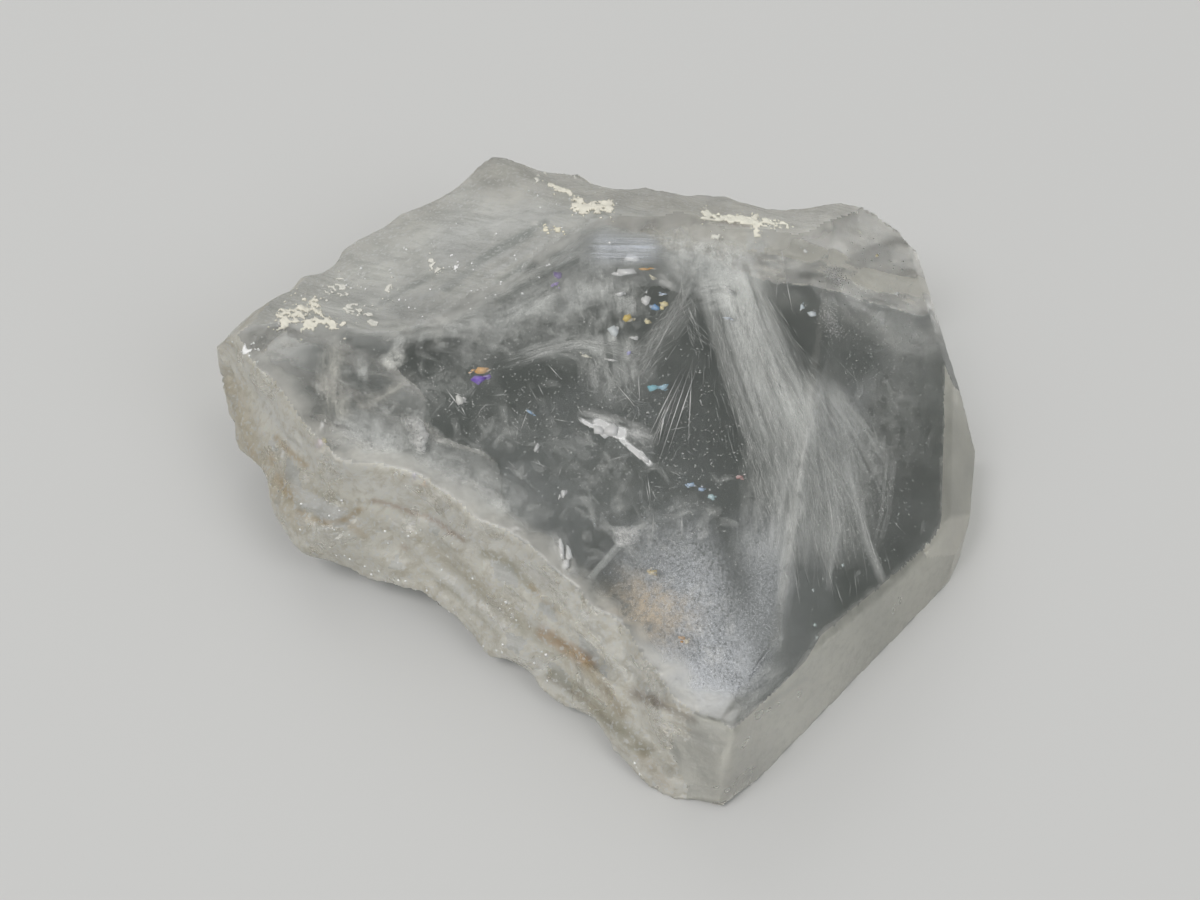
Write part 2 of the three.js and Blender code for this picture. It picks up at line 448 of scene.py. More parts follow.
def fractureLift(pointsMm, shape):
    waveSize, waveHigh = shape["waves"]
    grainSize, grainHigh = shape["grain"]
    ledgeGap, ledgeHigh = shape["ledges"]
    bendSize, bendHigh = shape["ledgeBend"]
    showSize, *showBand = shape["ledgeShow"]
    lift = waveHigh * layeredNoise(pointsMm, waveSize, noiseSeed["waves"])
    lift = lift + grainHigh * layeredNoise(pointsMm, grainSize, noiseSeed["grain"], 3)
    bend = bendHigh * layeredNoise(pointsMm, bendSize, noiseSeed["ledgeBend"])
    wave = np.abs((pointsMm @ np.array(shape["ledgeLean"]) + bend) / ledgeGap % 1 - 0.5) * 2
    lift += shape["streaks"][3] * streakNoise(pointsMm, shape)
    show = ramp(layeredNoise(pointsMm, showSize, noiseSeed["ledgeShow"]), *showBand)
    return lift + ledgeHigh * (ramp(wave, *shape["ledgeStep"]) - 0.5) * show


# ledges and grooves of the stepped face: path, half widths in pixels, height in mm
ledgeBlur = (2.0, 1.1)  # pixels they wander by, size of the wander in mm
ledges = {
    "rimLip": (((292, 432), (320, 453), (350, 471), (380, 483), (415, 498), (440, 521), (495, 546),
        (542, 577), (592, 622)), (10, 14), 0.07),
    "rustGroove": (((276, 440), (302, 466), (335, 498), (383, 504), (425, 516), (462, 541)), (6, 7), -0.09),
    "paleLedge": (((394, 524), (444, 576), (474, 604), (504, 628)), (9, 9), 0.15),
    "underLedge": (((386, 534), (436, 586), (496, 640)), (7, 7), -0.08),
    "hollow": (((420, 532), (446, 548)), (10, 9), -0.05),
    "creamLedge": (((541, 594), (580, 626), (600, 650)), (8, 7), 0.13),
    "oliveStep": (((484, 556), (512, 566), (534, 592)), (8, 7), -0.06),
    "orangeGroove": (((543, 632), (574, 652), (592, 666)), (7, 8), -0.08),
    "oliveGroove": (((553, 676), (597, 710), (645, 750)), (8, 8), -0.08),
    "footLip": (((566, 672), (606, 704), (650, 744), (672, 780)), (7, 7), 0.08),
    "recess": (((300, 512), (325, 524), (345, 521), (362, 510)), (6, 6), -0.06),
    "recessLumps": (((304, 503), (322, 503), (340, 511)), (8, 8), 0.04),
    "tipStep": (((632, 695), (662, 706), (692, 721)), (7, 5), -0.04),
}


def ledgeLift(pointsMm, facing):
    u, v = toPixels(pointsMm)
    turned = ((eye - pointsMm) * facing).sum(axis=1) > 0
    far, size = ledgeBlur
    blur = far * layeredNoise(pointsMm, size, noiseSeed["ledgeBlur"], 2)
    lift = np.zeros(len(pointsMm))
    for path, half, height in ledges.values():
        lift += height * ramp(strokeWeight(u + blur, v - blur, {"path": path, "half": half}), 0, 1)
    return lift * turned


pointsMm = points / mm
lift = fractureLift(pointsMm, crystalShape) * np.where(faceOf == "slope", crystalShape["slopeShare"], 1)
lift = (lift + ledgeLift(pointsMm, facing)) * broken
dentSize, dentHigh = crystalShape["faceDents"]
lift += dentHigh * layeredNoise(pointsMm, dentSize, noiseSeed["dents"], 2) * (1 - broken) * (1 - onBase)
lift[onLine] = 0
points = points + facing * (lift * (1 - onBase) * mm)[:, None]
points[:, 2] = np.maximum(points[:, 2], 0)
writePoints(skin, points)
facing = readVertices(skin, "normal")
pointsMm = points / mm
skin.polygons.foreach_set("use_smooth", np.ones(len(skin.polygons), dtype=bool))
goshenite = bpy.data.objects.new("goshenite", skin)
scene.collection.objects.link(goshenite)
skinTree = BVHTree.FromPolygons([Vector(p) for p in points], [tuple(p.vertices) for p in skin.polygons])
u, v = toPixels(pointsMm)


def seenByCamera(points, facing):
    start = Vector(eye * mm)
    seen = np.zeros(len(points), dtype=bool)
    for i, p in enumerate(points):
        reach = Vector(p) - start
        if reach.dot(Vector(facing[i])) > 0:
            continue
        hit = skinTree.ray_cast(start, reach.normalized())
        seen[i] = hit[0] is not None and hit[3] > reach.length - crystalShape["seenSlack"] * mm
    return seen


seen = seenByCamera(points, facing)
print("skin", len(points), "points,", len(skin.polygons), "faces,", int(seen.sum()), "points seen")

# stains and tones of the frosted faces: path and half widths in pixels, colour, strength
ochre, rust, brown = (0.50, 0.32, 0.10), (0.34, 0.17, 0.07), (0.17, 0.10, 0.05)
olive, pale = (0.30, 0.27, 0.15), (0.90, 0.90, 0.88)
stains = {
    "upperPale": (((268, 404), (298, 440), (330, 462), (372, 484), (412, 500), (442, 522), (496, 548),
        (546, 584), (600, 634), (652, 690)), (20, 24), (0.90, 0.90, 0.87), 0.55),
    "leftCream": (((232, 388), (248, 440), (273, 482), (300, 517)), (22, 22), (0.60, 0.49, 0.30), 0.72),
    "lowerCream": (((318, 548), (370, 562), (430, 594), (482, 630), (540, 684), (600, 738), (664, 796)),
        (18, 16), (0.86, 0.82, 0.72), 0.35),
    "midOlive": (((326, 500), (400, 530), (450, 562), (500, 604), (560, 652), (622, 714)), (12, 15),
        (0.46, 0.41, 0.28), 0.46),
    "leftCrack": (((276, 438), (293, 455), (306, 466)), (5, 5), ochre, 0.85),
    "leftSpotA": (((250, 446), (253, 456)), (6, 6), ochre, 0.5),
    "leftSpotB": (((270, 455), (273, 464)), (5, 5), ochre, 0.6),
    "leftSpotC": (((278, 478), (284, 488), (291, 500)), (6, 5), ochre, 0.85),
    "recessLine": (((297, 510), (310, 518), (325, 523), (343, 521), (360, 510)), (5, 5), ochre, 0.85),
    "recessPatch": (((344, 520), (358, 532), (366, 536)), (7, 6), ochre, 0.6),
    "recessDark": (((320, 492), (342, 502)), (5, 5), olive, 0.65),
    "recessPale": (((303, 505), (322, 504), (338, 512)), (6, 6), pale, 0.6),
    "rustCrack": (((372, 500), (390, 505), (406, 510), (425, 516), (443, 526), (463, 541)), (4.5, 4.5),
        rust, 0.85),
    "hollowGrey": (((420, 532), (444, 546)), (9, 8), (0.42, 0.42, 0.36), 0.5),
    "paleLedge": (((394, 524), (420, 550), (444, 576), (474, 604), (504, 628)), (6, 5), pale, 0.55),
    "brownSpot": (((402, 546), (407, 549)), (5, 5), rust, 0.6),
    "underLedge": (((438, 582), (456, 594), (478, 616), (500, 636)), (4, 4), olive, 0.55),
    "oliveStreak": (((484, 554), (508, 562), (522, 578), (532, 590)), (10, 7), olive, 0.75),
    "rustEdge": (((530, 586), (548, 603), (562, 614)), (5, 5), ochre, 0.85),
    # the cream ledge is its own tone plus a painted highlight along its crest
    "creamLedge": (((541, 594), (560, 609), (580, 626), (594, 640)), (7, 6), (0.97, 0.93, 0.80), 1.0),
    "orangeGroove": (((543, 632), (560, 643), (574, 652), (590, 664)), (11, 12), (0.48, 0.24, 0.05), 1.0),
    "groovePale": (((528, 620), (546, 628)), (7, 7), pale, 0.55),
    "grooveDark": (((514, 622), (524, 634)), (6, 5), olive, 0.6),
    "oliveBand": (((553, 674), (576, 690), (597, 710), (620, 728), (645, 750)), (13, 14), olive, 0.85),
    "bandOchre": (((588, 668), (606, 690), (622, 712)), (11, 10), (0.40, 0.30, 0.14), 0.80),
    "darkHair": (((548, 676), (572, 692), (596, 709), (614, 724)), (3.5, 3), brown, 0.55),
    "tipStreak": (((632, 693), (648, 698), (662, 704), (692, 720)), (11, 8), brown, 0.90),
    "tipOchre": (((640, 755), (668, 785)), (10, 8), ochre, 0.30),
    "leftTipSpot": (((226, 371), (229, 374)), (5, 5), brown, 0.5),
    "ledgeCrack": (((705, 218), (730, 223), (748, 226)), (3.5, 3.5), brown, 0.7),
    "backFacet": (((736, 205), (790, 208), (812, 209)), (8, 8), (0.90, 0.88, 0.80), 0.8),
    "tipFacet": (((690, 740), (712, 778), (722, 806)), (48, 36), (0.58, 0.56, 0.49), 0.75),
    "tipCorner": (((738, 730), (732, 766), (726, 806)), (40, 34), (0.58, 0.56, 0.49), 0.80),
    "slopeGrey": (((262, 320), (340, 262), (420, 216), (488, 172), (520, 168)), (22, 20),
        (0.52, 0.51, 0.45), 0.55),
    "slopeWarm": (((560, 196), (640, 200), (720, 212)), (14, 12), (0.58, 0.56, 0.48), 0.5),
    "slopeWhite": (((440, 250), (490, 226), (540, 214)), (26, 20), (0.93, 0.93, 0.91), 0.6),
    "slopeDarkA": (((446, 288), (487, 258), (530, 234)), (6, 7), (0.27, 0.30, 0.28), 0.85),
    "slopeDarkB": (((492, 288), (522, 268), (556, 252)), (7, 8), (0.25, 0.28, 0.26), 0.90),
    "slopeDarkC": (((380, 304), (410, 288), (440, 270)), (5, 5), (0.34, 0.36, 0.33), 0.65),
    "slopeDarkD": (((548, 246), (580, 226), (600, 214)), (6, 6), (0.34, 0.36, 0.33), 0.65),
    "slopeDarkE": (((468, 264), (510, 240), (546, 222)), (4, 5), (0.27, 0.30, 0.28), 0.75),
    "slopeDarkF": (((500, 302), (540, 276), (576, 262)), (6, 6), (0.25, 0.28, 0.26), 0.75),
    "slopePaleA": (((420, 300), (470, 272), (512, 250)), (4, 4), pale, 0.85),
    "slopePaleB": (((486, 276), (520, 256), (548, 240)), (4, 4), pale, 0.85),
    "slopePaleC": (((330, 300), (380, 276), (430, 246)), (7, 7), (0.80, 0.79, 0.72), 0.40),
    "slopePaleD": (((462, 234), (500, 220), (526, 210)), (10, 10), pale, 0.45),
    "sideStreak": (((757, 712), (780, 696), (806, 678)), (4, 4), (0.40, 0.41, 0.37), 0.6),
    "sideStreakLow": (((730, 752), (775, 716), (830, 674)), (5, 5), (0.62, 0.60, 0.52), 0.4),
}

stainLook = {
    "wander": (1.6, 0.9),  # pixels the strokes wander by, size of the wander in mm
    "fade": 0.9,  # share of a stroke's half width over which it fades
    "mottle": (0.75, 0.35, 0.7),  # strength, its change, size in mm
    # ochre on faces that no stroke reaches: size in mm, noise from none to whole
    "hidden": (3.2, 0.15, 0.8),
    "hollow": (0.1, -0.4, 0.8),  # mm, it gathers where the skin lies low
    "shares": (0.08, 0.5),  # of that ochre, where the camera sees and where it doesn't
    "bands": ((1, 0.45, (0.52, 0.47, 0.34)), (-1, 0.50, pale)),  # dark and pale streaks of the stepped face
    "bandRange": (0.05, 0.75),
}
backCorner = (9.0, 7.0)  # mm, beyond it the back is smooth and clean


def stainSkin(look):
    far, size = look["wander"]
    blur = far * layeredNoise(pointsMm, size, noiseSeed["stainBlur"], 3)
    drift = far * layeredNoise(pointsMm, size, noiseSeed["stainDrift"], 3)
    mottle, change, mottleSize = look["mottle"]
    mottle = mottle + change * layeredNoise(pointsMm, mottleSize, noiseSeed["stainMottle"], 3)
    color = np.tile(np.array(ochre), (len(points), 1))
    hiddenSize, *hiddenBand = look["hidden"]
    deep, *deepBand = look["hollow"]
    hidden = ramp(layeredNoise(pointsMm, hiddenSize, noiseSeed["hiddenStain"]), *hiddenBand)
    hidden = hidden * ramp(-lift / deep, *deepBand) * (pointsMm[:, 0] < backCorner[0])
    amount = np.where(seen, *look["shares"]) * hidden * broken + 1e-6
    streak = streakNoise(pointsMm, crystalShape)
    stepped = broken * (faceOf == "broken")
    tones = []
    for sign, share, tone in look["bands"]:
        tones.append((share * stepped * ramp(sign * streak, *look["bandRange"]), tone))
    for path, half, tone, strength in stains.values():
        weight = strokeWeight(u + blur, v + drift, {"path": path, "half": half})
        tones.append((ramp(weight, 0, look["fade"]) * strength * seen * mottle, tone))
    for weight, tone in tones:
        weight = np.clip(weight, 0, 1)
        rest = amount * (1 - weight)
        color = (color * rest[:, None] + np.array(tone) * weight[:, None]) / (weight + rest)[:, None]
        amount = weight + rest
    return np.column_stack((np.clip(color, 0, 1), np.clip(amount, 0, 1)))


def addColor(mesh, name, rgba):
    layer = mesh.color_attributes.new(name, "FLOAT_COLOR", "POINT")
    layer.data.foreach_set("color", np.asarray(rgba, float).ravel())


addColor(skin, "stain", stainSkin(stainLook))
print("stains laid")

# materials of the crystal
beryl = {"ior": 1.58, "grainHigh": 0.08}  # grain height in mm
finishes = {
    "clearFace": {
        "color": (0.98, 0.985, 0.98), "transmission": 1.0, "rough": (0.02, 0.09),
        "shade": (0.97, 0.975, 0.97), "grain": (1500, 0.10), "mottle": 0.10,
        "frost": {"color": (0.62, 0.61, 0.57), "transmission": 0.64, "rough": 0.40, "bump": 0.6}},
    "frostFace": {
        "color": (0.78, 0.76, 0.67), "transmission": 0.76, "rough": (0.30, 0.46), "shade": (0.7, 0.7, 0.68),
        "grain": (2600, 0.30), "mottle": 0.12, "streak": (348, 0.12, (0.55, 0.53, 0.45)), "speck": 0.10},
    "sideFace": {
        "color": (0.66, 0.65, 0.57), "transmission": 0.86, "rough": (0.26, 0.42),
        "shade": (0.75, 0.75, 0.73), "grain": (2600, 0.35), "mottle": 0.12,
        "streak": (318.2, 0.45, (0.40, 0.40, 0.34)), "speck": 0.10},
    "brokenFace": {
        "color": (0.93, 0.90, 0.80), "transmission": 0.68, "rough": (0.20, 0.44),
        "shade": (0.65, 0.65, 0.62), "grain": (2300, 0.80), "mottle": 0.16,
        "streak": (231.7, 0.60, (0.50, 0.44, 0.31)), "speck": 0.6},
    "slopeFace": {
        "color": (0.84, 0.83, 0.78), "transmission": 0.74, "rough": (0.34, 0.54),
        "shade": (0.75, 0.75, 0.73), "grain": (3200, 0.75), "mottle": 0.24,
        "streak": (116, 0.55, (0.42, 0.43, 0.38)), "speck": 0.7},
    "restFace": {
        "color": (0.92, 0.95, 0.93), "transmission": 1.0, "rough": (0.10, 0.22),
        "shade": (0.19, 0.21, 0.20), "grain": (1200, 0.15), "mottle": 0.05},
    "underFace": {
        "color": (0.90, 0.92, 0.90), "transmission": 0.90, "rough": (0.25, 0.4),
        "shade": (0.19, 0.21, 0.20), "grain": (1800, 0.30), "mottle": 0.10},
}
finishOf = {
    "top": "clearFace", "rightSlope": "clearFace", "tipBevel": "clearFace", "rightBack": "clearFace",
    "rightBevel": "frostFace", "rightFoot": "frostFace", "backCorner": "frostFace",
    "frontRight": "sideFace", "broken": "brokenFace", "slope": "slopeFace", "under": "underFace",
    "base": "restFace",
}
rim = {
    "beside": {  # windows, reach and wander in mm, share
        "broken": (("top", "tipBevel"), 1.3, 1.0, 0.90),
        "slope": (("top", "tipBevel"), 1.6, 1.5, 0.75),
        "rightFoot": (("rightBack",), 0.9, 0.6, 0.9),
        "rightBevel": (("rightSlope", "rightBack"), 0.3, 0.2, 0.7),
        "frontRight": (("rightSlope", "tipBevel"), 0.3, 0.2, 0.7),
    },
    "size": 1.3,  # mm, of the wander
    "from": -0.1,  # mm, where the frost starts to thin out
    "ridge": (0.03, 0.24),  # mm from the ridge, from whole to none
    "ridgeFrost": 0.22,
    "ridgeWander": 0.12,  # mm
}
tipFacet = {
    "path": ((712, 728), (712, 770), (722, 812)),
    "half": (42, 46),  # pixels
    "least": 0.02,
    "ragged": (0.6, 1.6, 0.25),  # strength of the noise, its size in mm, where the facet ends
}
sideMatch = {"up": -0.6, "near": 0.8}  # a polygon on the resting edge that faces up more is a side
grainRange = {"mottle": (0.3, 0.7), "streak": (0.46, 0.68), "speck": (0.56, 0.66)}  # none to whole
stoneGrain = {
    "fine": {"Detail": 4, "Roughness": 0.62},
    "wide": {"Scale": 420, "Detail": 3, "Distortion": 0.6},
    "streak": {"Scale": 1, "Detail": 4, "Roughness": 0.66, "Distortion": 0.3},
    "speck": {"Scale": 5200, "Detail": 1},
    "stretch": (2300, 150, 2300),  # streaks' turns per metre outward, along the face and up
}


def addNode(tree, kind, values=None):
    node = tree.nodes.new("ShaderNode" + kind)
    for socket, value in (values or {}).items():
        node.inputs[socket].default_value = value
    return node


def makeGrainGroup(build):
    group = bpy.data.node_groups.new("stoneGrain", "ShaderNodeTree")
    for name in ("Scale", "Bearing"):
        group.interface.new_socket(name, in_out="INPUT", socket_type="NodeSocketFloat")
    for name in ("Height", "Mottle", "Streak", "Speck"):
        group.interface.new_socket(name, in_out="OUTPUT", socket_type="NodeSocketFloat")
    links = group.links
    inlet, outlet = group.nodes.new("NodeGroupInput"), group.nodes.new("NodeGroupOutput")
    where = addNode(group, "TexCoord")
    noises = ("fine", "wide", "streak", "speck")
    fine, wide, streak, speck = (addNode(group, "TexNoise", build[name]) for name in noises)
    turn = addNode(group, "VectorRotate")
    turn.rotation_type = "Z_AXIS"
    stretch = addNode(group, "VectorMath", {1: build["stretch"]})
    stretch.operation = "MULTIPLY"
    links.new(inlet.outputs["Scale"], fine.inputs["Scale"])
    links.new(where.outputs["Object"], turn.inputs["Vector"])
    links.new(inlet.outputs["Bearing"], turn.inputs["Angle"])
    links.new(turn.outputs["Vector"], stretch.inputs[0])
    links.new(stretch.outputs["Vector"], streak.inputs["Vector"])
    for noise in (fine, wide, speck):
        links.new(where.outputs["Object"], noise.inputs["Vector"])
    for noise, name in ((fine, "Height"), (wide, "Mottle"), (streak, "Streak"), (speck, "Speck")):
        links.new(noise.outputs["Fac"], outlet.inputs[name])
    return group


grainGroup = makeGrainGroup(stoneGrain)


def spreadValue(tree, source, low, high, toLow, toHigh):
    limits = {"From Min": low, "From Max": high, "To Min": toLow, "To Max": toHigh}
    spread = addNode(tree, "MapRange", limits)
    tree.links.new(source, spread.inputs["Value"])
    return spread.outputs["Result"]


def mixColor(tree, factor, first, second, blend="MIX"):
    mix = addNode(tree, "Mix")
    mix.data_type = "RGBA"
    mix.blend_type = blend
    for socket, value in (("Factor", factor), ("A", first), ("B", second)):
        target = [s for s in mix.inputs if s.name == socket and s.enabled][0]
        if isinstance(value, bpy.types.NodeSocket):
            tree.links.new(value, target)
        else:
            target.default_value = (*value, 1) if isinstance(value, tuple) else value
    return [s for s in mix.outputs if s.enabled][0]


def mixShaders(tree, factor, first, second):
    mix = addNode(tree, "MixShader")
    for k, source in enumerate((factor, first, second)):
        tree.links.new(source, mix.inputs[k])
    return mix.outputs["Shader"]


def bumpSurface(tree, height, strength, surface):
    bump = addNode(tree, "Bump", {"Strength": strength, "Distance": beryl["grainHigh"] * mm})
    tree.links.new(height, bump.inputs["Height"])
    tree.links.new(bump.outputs["Normal"], surface.inputs["Normal"])


def makeBeryl(name, finish):
    material = bpy.data.materials.new(name)
    material.use_nodes = True
    tree = material.node_tree
    links = tree.links
    surface = tree.nodes["Principled BSDF"]
    surface.inputs["Transmission Weight"].default_value = finish["transmission"]
    surface.inputs["IOR"].default_value = beryl["ior"]
    scale, strength = finish["grain"]
    bearing, streakShare, streakTone = finish.get("streak", (0, 0, None))
    grain = tree.nodes.new("ShaderNodeGroup")
    grain.node_tree = grainGroup
    grain.inputs["Scale"].default_value = scale
    grain.inputs["Bearing"].default_value = math.radians(bearing)
    mottle, streak, speck = (grain.outputs[k] for k in ("Mottle", "Streak", "Speck"))
    height = grain.outputs["Height"]
    if streakShare:
        layered = addNode(tree, "Math", {1: 2 * streakShare})
        layered.operation = "MULTIPLY_ADD"
        links.new(streak, layered.inputs[0])
        links.new(height, layered.inputs[2])
        height = layered.outputs["Value"]
    bumpSurface(tree, height, strength, surface)
    rough = spreadValue(tree, mottle, *grainRange["mottle"], *finish["rough"])
    links.new(rough, surface.inputs["Roughness"])
    darker = spreadValue(tree, mottle, *grainRange["mottle"], 1 - finish["mottle"], 1 + finish["mottle"])
    tone = mixColor(tree, 1.0, finish["color"], darker, "MULTIPLY")
    stain = addNode(tree, "VertexColor")
    stain.layer_name = "stain"
    tone = mixColor(tree, stain.outputs["Alpha"], tone, stain.outputs["Color"])
    if streakShare:
        share = spreadValue(tree, streak, *grainRange["streak"], 0, streakShare)
        tone = mixColor(tree, share, tone, streakTone)
    if "speck" in finish:
        share = spreadValue(tree, speck, *grainRange["speck"], 0, finish["speck"])
        tone = mixColor(tree, share, tone, pale)
    links.new(tone, surface.inputs["Base Color"])
    face = surface.outputs["BSDF"]
    if "frost" in finish:  # ground-glass rims
        ground = finish["frost"]
        frosted = addNode(tree, "BsdfPrincipled", {
            "Roughness": ground["rough"],
            "Transmission Weight": ground["transmission"],
            "IOR": beryl["ior"],
        })
        links.new(mixColor(tree, 1.0, ground["color"], darker, "MULTIPLY"), frosted.inputs["Base Color"])
        bumpSurface(tree, height, ground["bump"], frosted)
        frost = addNode(tree, "Attribute")
        frost.attribute_name = "frost"
        face = mixShaders(tree, frost.outputs["Fac"], face, frosted.outputs["BSDF"])
    shade = addNode(tree, "BsdfTransparent", {"Color": (*finish["shade"], 1)})  # what lamps' light takes on
    rays = addNode(tree, "LightPath")
    face = mixShaders(tree, rays.outputs["Is Shadow Ray"], face, shade.outputs["BSDF"])
    links.new(face, tree.nodes["Material Output"].inputs["Surface"])
    return material


def frostSkin():
    wander = layeredNoise(pointsMm, rim["size"], noiseSeed["frostWander"])
    frost = np.zeros(len(points))
    for name, (windows, reach, drift, share) in rim["beside"].items():
        window = np.flatnonzero(np.isin(faceOf, windows))
        ragged = treeOf([Vector(p) for p in points[faceOf == name]])
        away = np.array([ragged.find(points[i])[2] for i in window]) / mm + drift * wander[window]
        frost[window] = np.maximum(frost[window], share * (1 - ramp(away, rim["from"], reach)))
        frost[faceOf == name] = np.maximum(frost[faceOf == name], share)
    ridgeFaces = ("top", "rightSlope")
    out = [lookVector(*growthFaces[name]) for name in ridgeFaces]
    away = []
    for name, n in zip(ridgeFaces, out):
        away.append(np.abs(pointsMm @ n - np.median(pointsMm[faceOf == name] @ n)))
    gap = np.maximum(*away) / math.sqrt(1 - (out[0] @ out[1]) ** 2) + rim["ridgeWander"] * wander
    ridge = rim["ridgeFrost"] * (1 - ramp(gap, *rim["ridge"])) * np.isin(faceOf, ridgeFaces)
    layer = skin.attributes.new("frost", "FLOAT", "POINT")
    layer.data.foreach_set("value", np.maximum(frost, ridge))


def inBackCorner(spot):
    return all(spot[k] > backCorner[k] * mm for k in range(2))


def onTipFacet(spotsMm):
    noise, size, least = tipFacet["ragged"]
    weight = strokeWeight(*toPixels(spotsMm), tipFacet)
    ragged = weight + noise * layeredNoise(spotsMm, size, noiseSeed["tipRagged"])
    return (weight > tipFacet["least"]) & (ragged > least)


def namePolygons():
    names = [solidFaces[solidTree.find_nearest(p.center)[2]] for p in skin.polygons]
    onTip = onTipFacet(np.array([p.center for p in skin.polygons]) / mm)
    sideNames = [name for name in growthFaces if name not in ("base", "top")]
    sides = {name: Vector(lookVector(*growthFaces[name])) for name in sideNames}
    for k, polygon in enumerate(skin.polygons):
        if names[k] == "broken" and inBackCorner(polygon.center):
            names[k] = "backCorner"
        elif names[k] == "broken" and onTip[k]:
            names[k] = "frontRight"
        elif names[k] == "base" and polygon.normal.z > sideMatch["up"]:  # sides along the resting edge
            nearest = max(sides, key=lambda name: polygon.normal @ sides[name])
            names[k] = nearest if polygon.normal @ sides[nearest] > sideMatch["near"] else "broken"
    return names


def dressSkin():
    for name, finish in finishes.items():
        skin.materials.append(makeBeryl(name, finish))
    order = list(finishes)
    slots = [order.index(finishOf[name]) for name in namePolygons()]
    skin.polygons.foreach_set("material_index", np.array(slots, dtype=np.int32))


frostSkin()
dressSkin()
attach(goshenite, "root")
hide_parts("crystal")
print("crystal dressed")


# what is inside: sheets, fibres and grains placed by a pixel and a depth under the face seen there
windowFaces = ("top", "rightSlope", "tipBevel", "slope")
# mm, mm where no far side is found, share of the depth
insideDepth = {"skin": 0.02, "thin": 0.5, "room": 0.9}


def insidePoint(px, py, depth, windows=None):
    start = Vector(eye * mm)
    along = pixelRay(px, py)
    hit, normal, index, reach = solidTree.ray_cast(start, along)
    if hit is None or windows and solidFaces[index] not in windows:
        return None
    facingIn = -normal.dot(along)
    bend = 1 / beryl["ior"]
    bent = math.sqrt(1 - bend * bend * (1 - facingIn * facingIn))
    inward = (along * bend + normal * (bend * facingIn - bent)).normalized()
    below = hit + inward * (insideDepth["skin"] * mm)
    far = solidTree.ray_cast(below, inward)
    room = far[3] if far[0] is not None else insideDepth["thin"] * mm
    return below + inward * min(depth * mm, room * insideDepth["room"])


def isInside(point, margin):
    spot, normal, index, gap = solidTree.find_nearest(point)
    return gap > margin * mm and (point - spot).dot(normal) < 0


def joinArrays(name, corners, triangles, tints):
    mesh = bpy.data.meshes.new(name)
    mesh.vertices.add(len(corners))
    mesh.vertices.foreach_set("co", corners.ravel())
    mesh.loops.add(triangles.size)
    mesh.loops.foreach_set("vertex_index", triangles.ravel().astype(np.int32))
    mesh.polygons.add(len(triangles))
    mesh.polygons.foreach_set("loop_start", np.arange(0, triangles.size, 3, dtype=np.int32))
    mesh.update(calc_edges=True)
    if tints.shape[1] == 3:
        tints = np.column_stack((tints, np.ones(len(tints))))
    addColor(mesh, "tint", tints)
    return mesh


def addInside(name, mesh, material):
    mesh.materials.append(material)
    piece = bpy.data.objects.new(name, mesh)
    scene.collection.objects.link(piece)
    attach(piece, "root")
    print(name, len(mesh.polygons), "triangles")
    return piece


# thin milky sheets that follow a stroke, denser where the stroke is strong
sheetBuild = {
    "step": 5.0,  # pixels
    "rounds": 4,  # of rounding the bends
    "thin": 0.02,  # mm
    "gap": 1.0,  # mm, a longer step leaves a hole
    "strength": 0.55,
    "least": 0.012,  # density under which there is no sheet
    "edge": 1.3,  # power of the fade to the sides
    "side": (0.05, 0.35),  # mm to the side faces, from none to whole
    "waves": 60,  # pixels, size of the change in depth
    "apart": (57.0, 3.7),  # between sheets, in the noise of patches and of the weave
}
pixelMm = 0.05  # mm that a pixel covers
# the bluish white is milky haze with a painted sky reflection in it
milkWhite, hazeAndSkyWhite = (0.86, 0.87, 0.85), (0.85, 0.87, 0.91)
warmWhite, snowWhite, white = (0.88, 0.86, 0.79), (0.95, 0.95, 0.94), (1.0, 1.0, 1.0)
# weave along and across, turns per mm
silk, hazy, cloud, fine = (0.12, 3.4), (0.7, 2.8), (1.7, 1.7), (22, 22)


def sheet(path, half, strength, depth, weave, tint=milkWhite, patch=None, layers=1, fade=(0.25, 0.25)):
    return {"path": path, "half": half, "strength": strength, "depth": depth, "weave": weave, "tint": tint,
            "patch": patch, "layers": layers, "fade": fade}


def sheetGrid(stroke, number):
    path = np.array(stroke["path"], float)
    long = pathEnds(path)[-1]
    first, last = stroke["half"]
    step = min(sheetBuild["step"], max(first, last) / 3)
    rows = max(int(long / step), 5) + 1
    columns = max(int(2 * max(first, last) / step), 5) + 1
    at, half, side, pixels = strokeGrid(path, stroke["half"], rows, columns, sheetBuild["rounds"])
    share = at / long
    fadeIn, fadeOut = stroke["fade"]
    ending = ramp(share, 0, fadeIn) * ramp(1 - share, 0, fadeOut)
    dense = np.outer(ending, (1 - side * side) ** sheetBuild["edge"]).ravel()
    patchApart, weaveApart = sheetBuild["apart"]
    level = patchLevel + patchApart * number
    if stroke["patch"]:
        dense *= patchCover(pixels, stroke["patch"], level)
    spots = np.column_stack((pixels, np.full(len(pixels), level)))
    shallow, deep = stroke["depth"]
    sink = np.clip(layeredNoise(spots, sheetBuild["waves"], noiseSeed["depth"], 2), -1, 1)
    depth = shallow + (deep - shallow) * (0.5 + 0.5 * sink)
    along, over = stroke["weave"]
    wide = (first + last) / 2 * pixelMm
    run, over = np.meshgrid(at * pixelMm * along, side * wide * over, indexing="ij")
    flow = np.column_stack((run.ravel(), over.ravel(), np.full(len(pixels), weaveApart * number)))
    return rows, columns, pixels, dense * stroke["strength"] * sheetBuild["strength"], depth, flow


def sheetFaces(rows, columns, places, dense, needed=any):
    quads = []
    for r in range(rows - 1):
        for c in range(columns - 1):
            first, second = r * columns + c, (r + 1) * columns + c
            quad = (first, first + 1, second + 1, second)
            if any(places[k] is None for k in quad):
                continue
            longest = max((places[quad[k]] - places[quad[k - 1]]).length for k in range(4))
            if longest < sheetBuild["gap"] * mm and needed(dense[k] > sheetBuild["least"] for k in quad):
                quads.append(quad)
    return quads


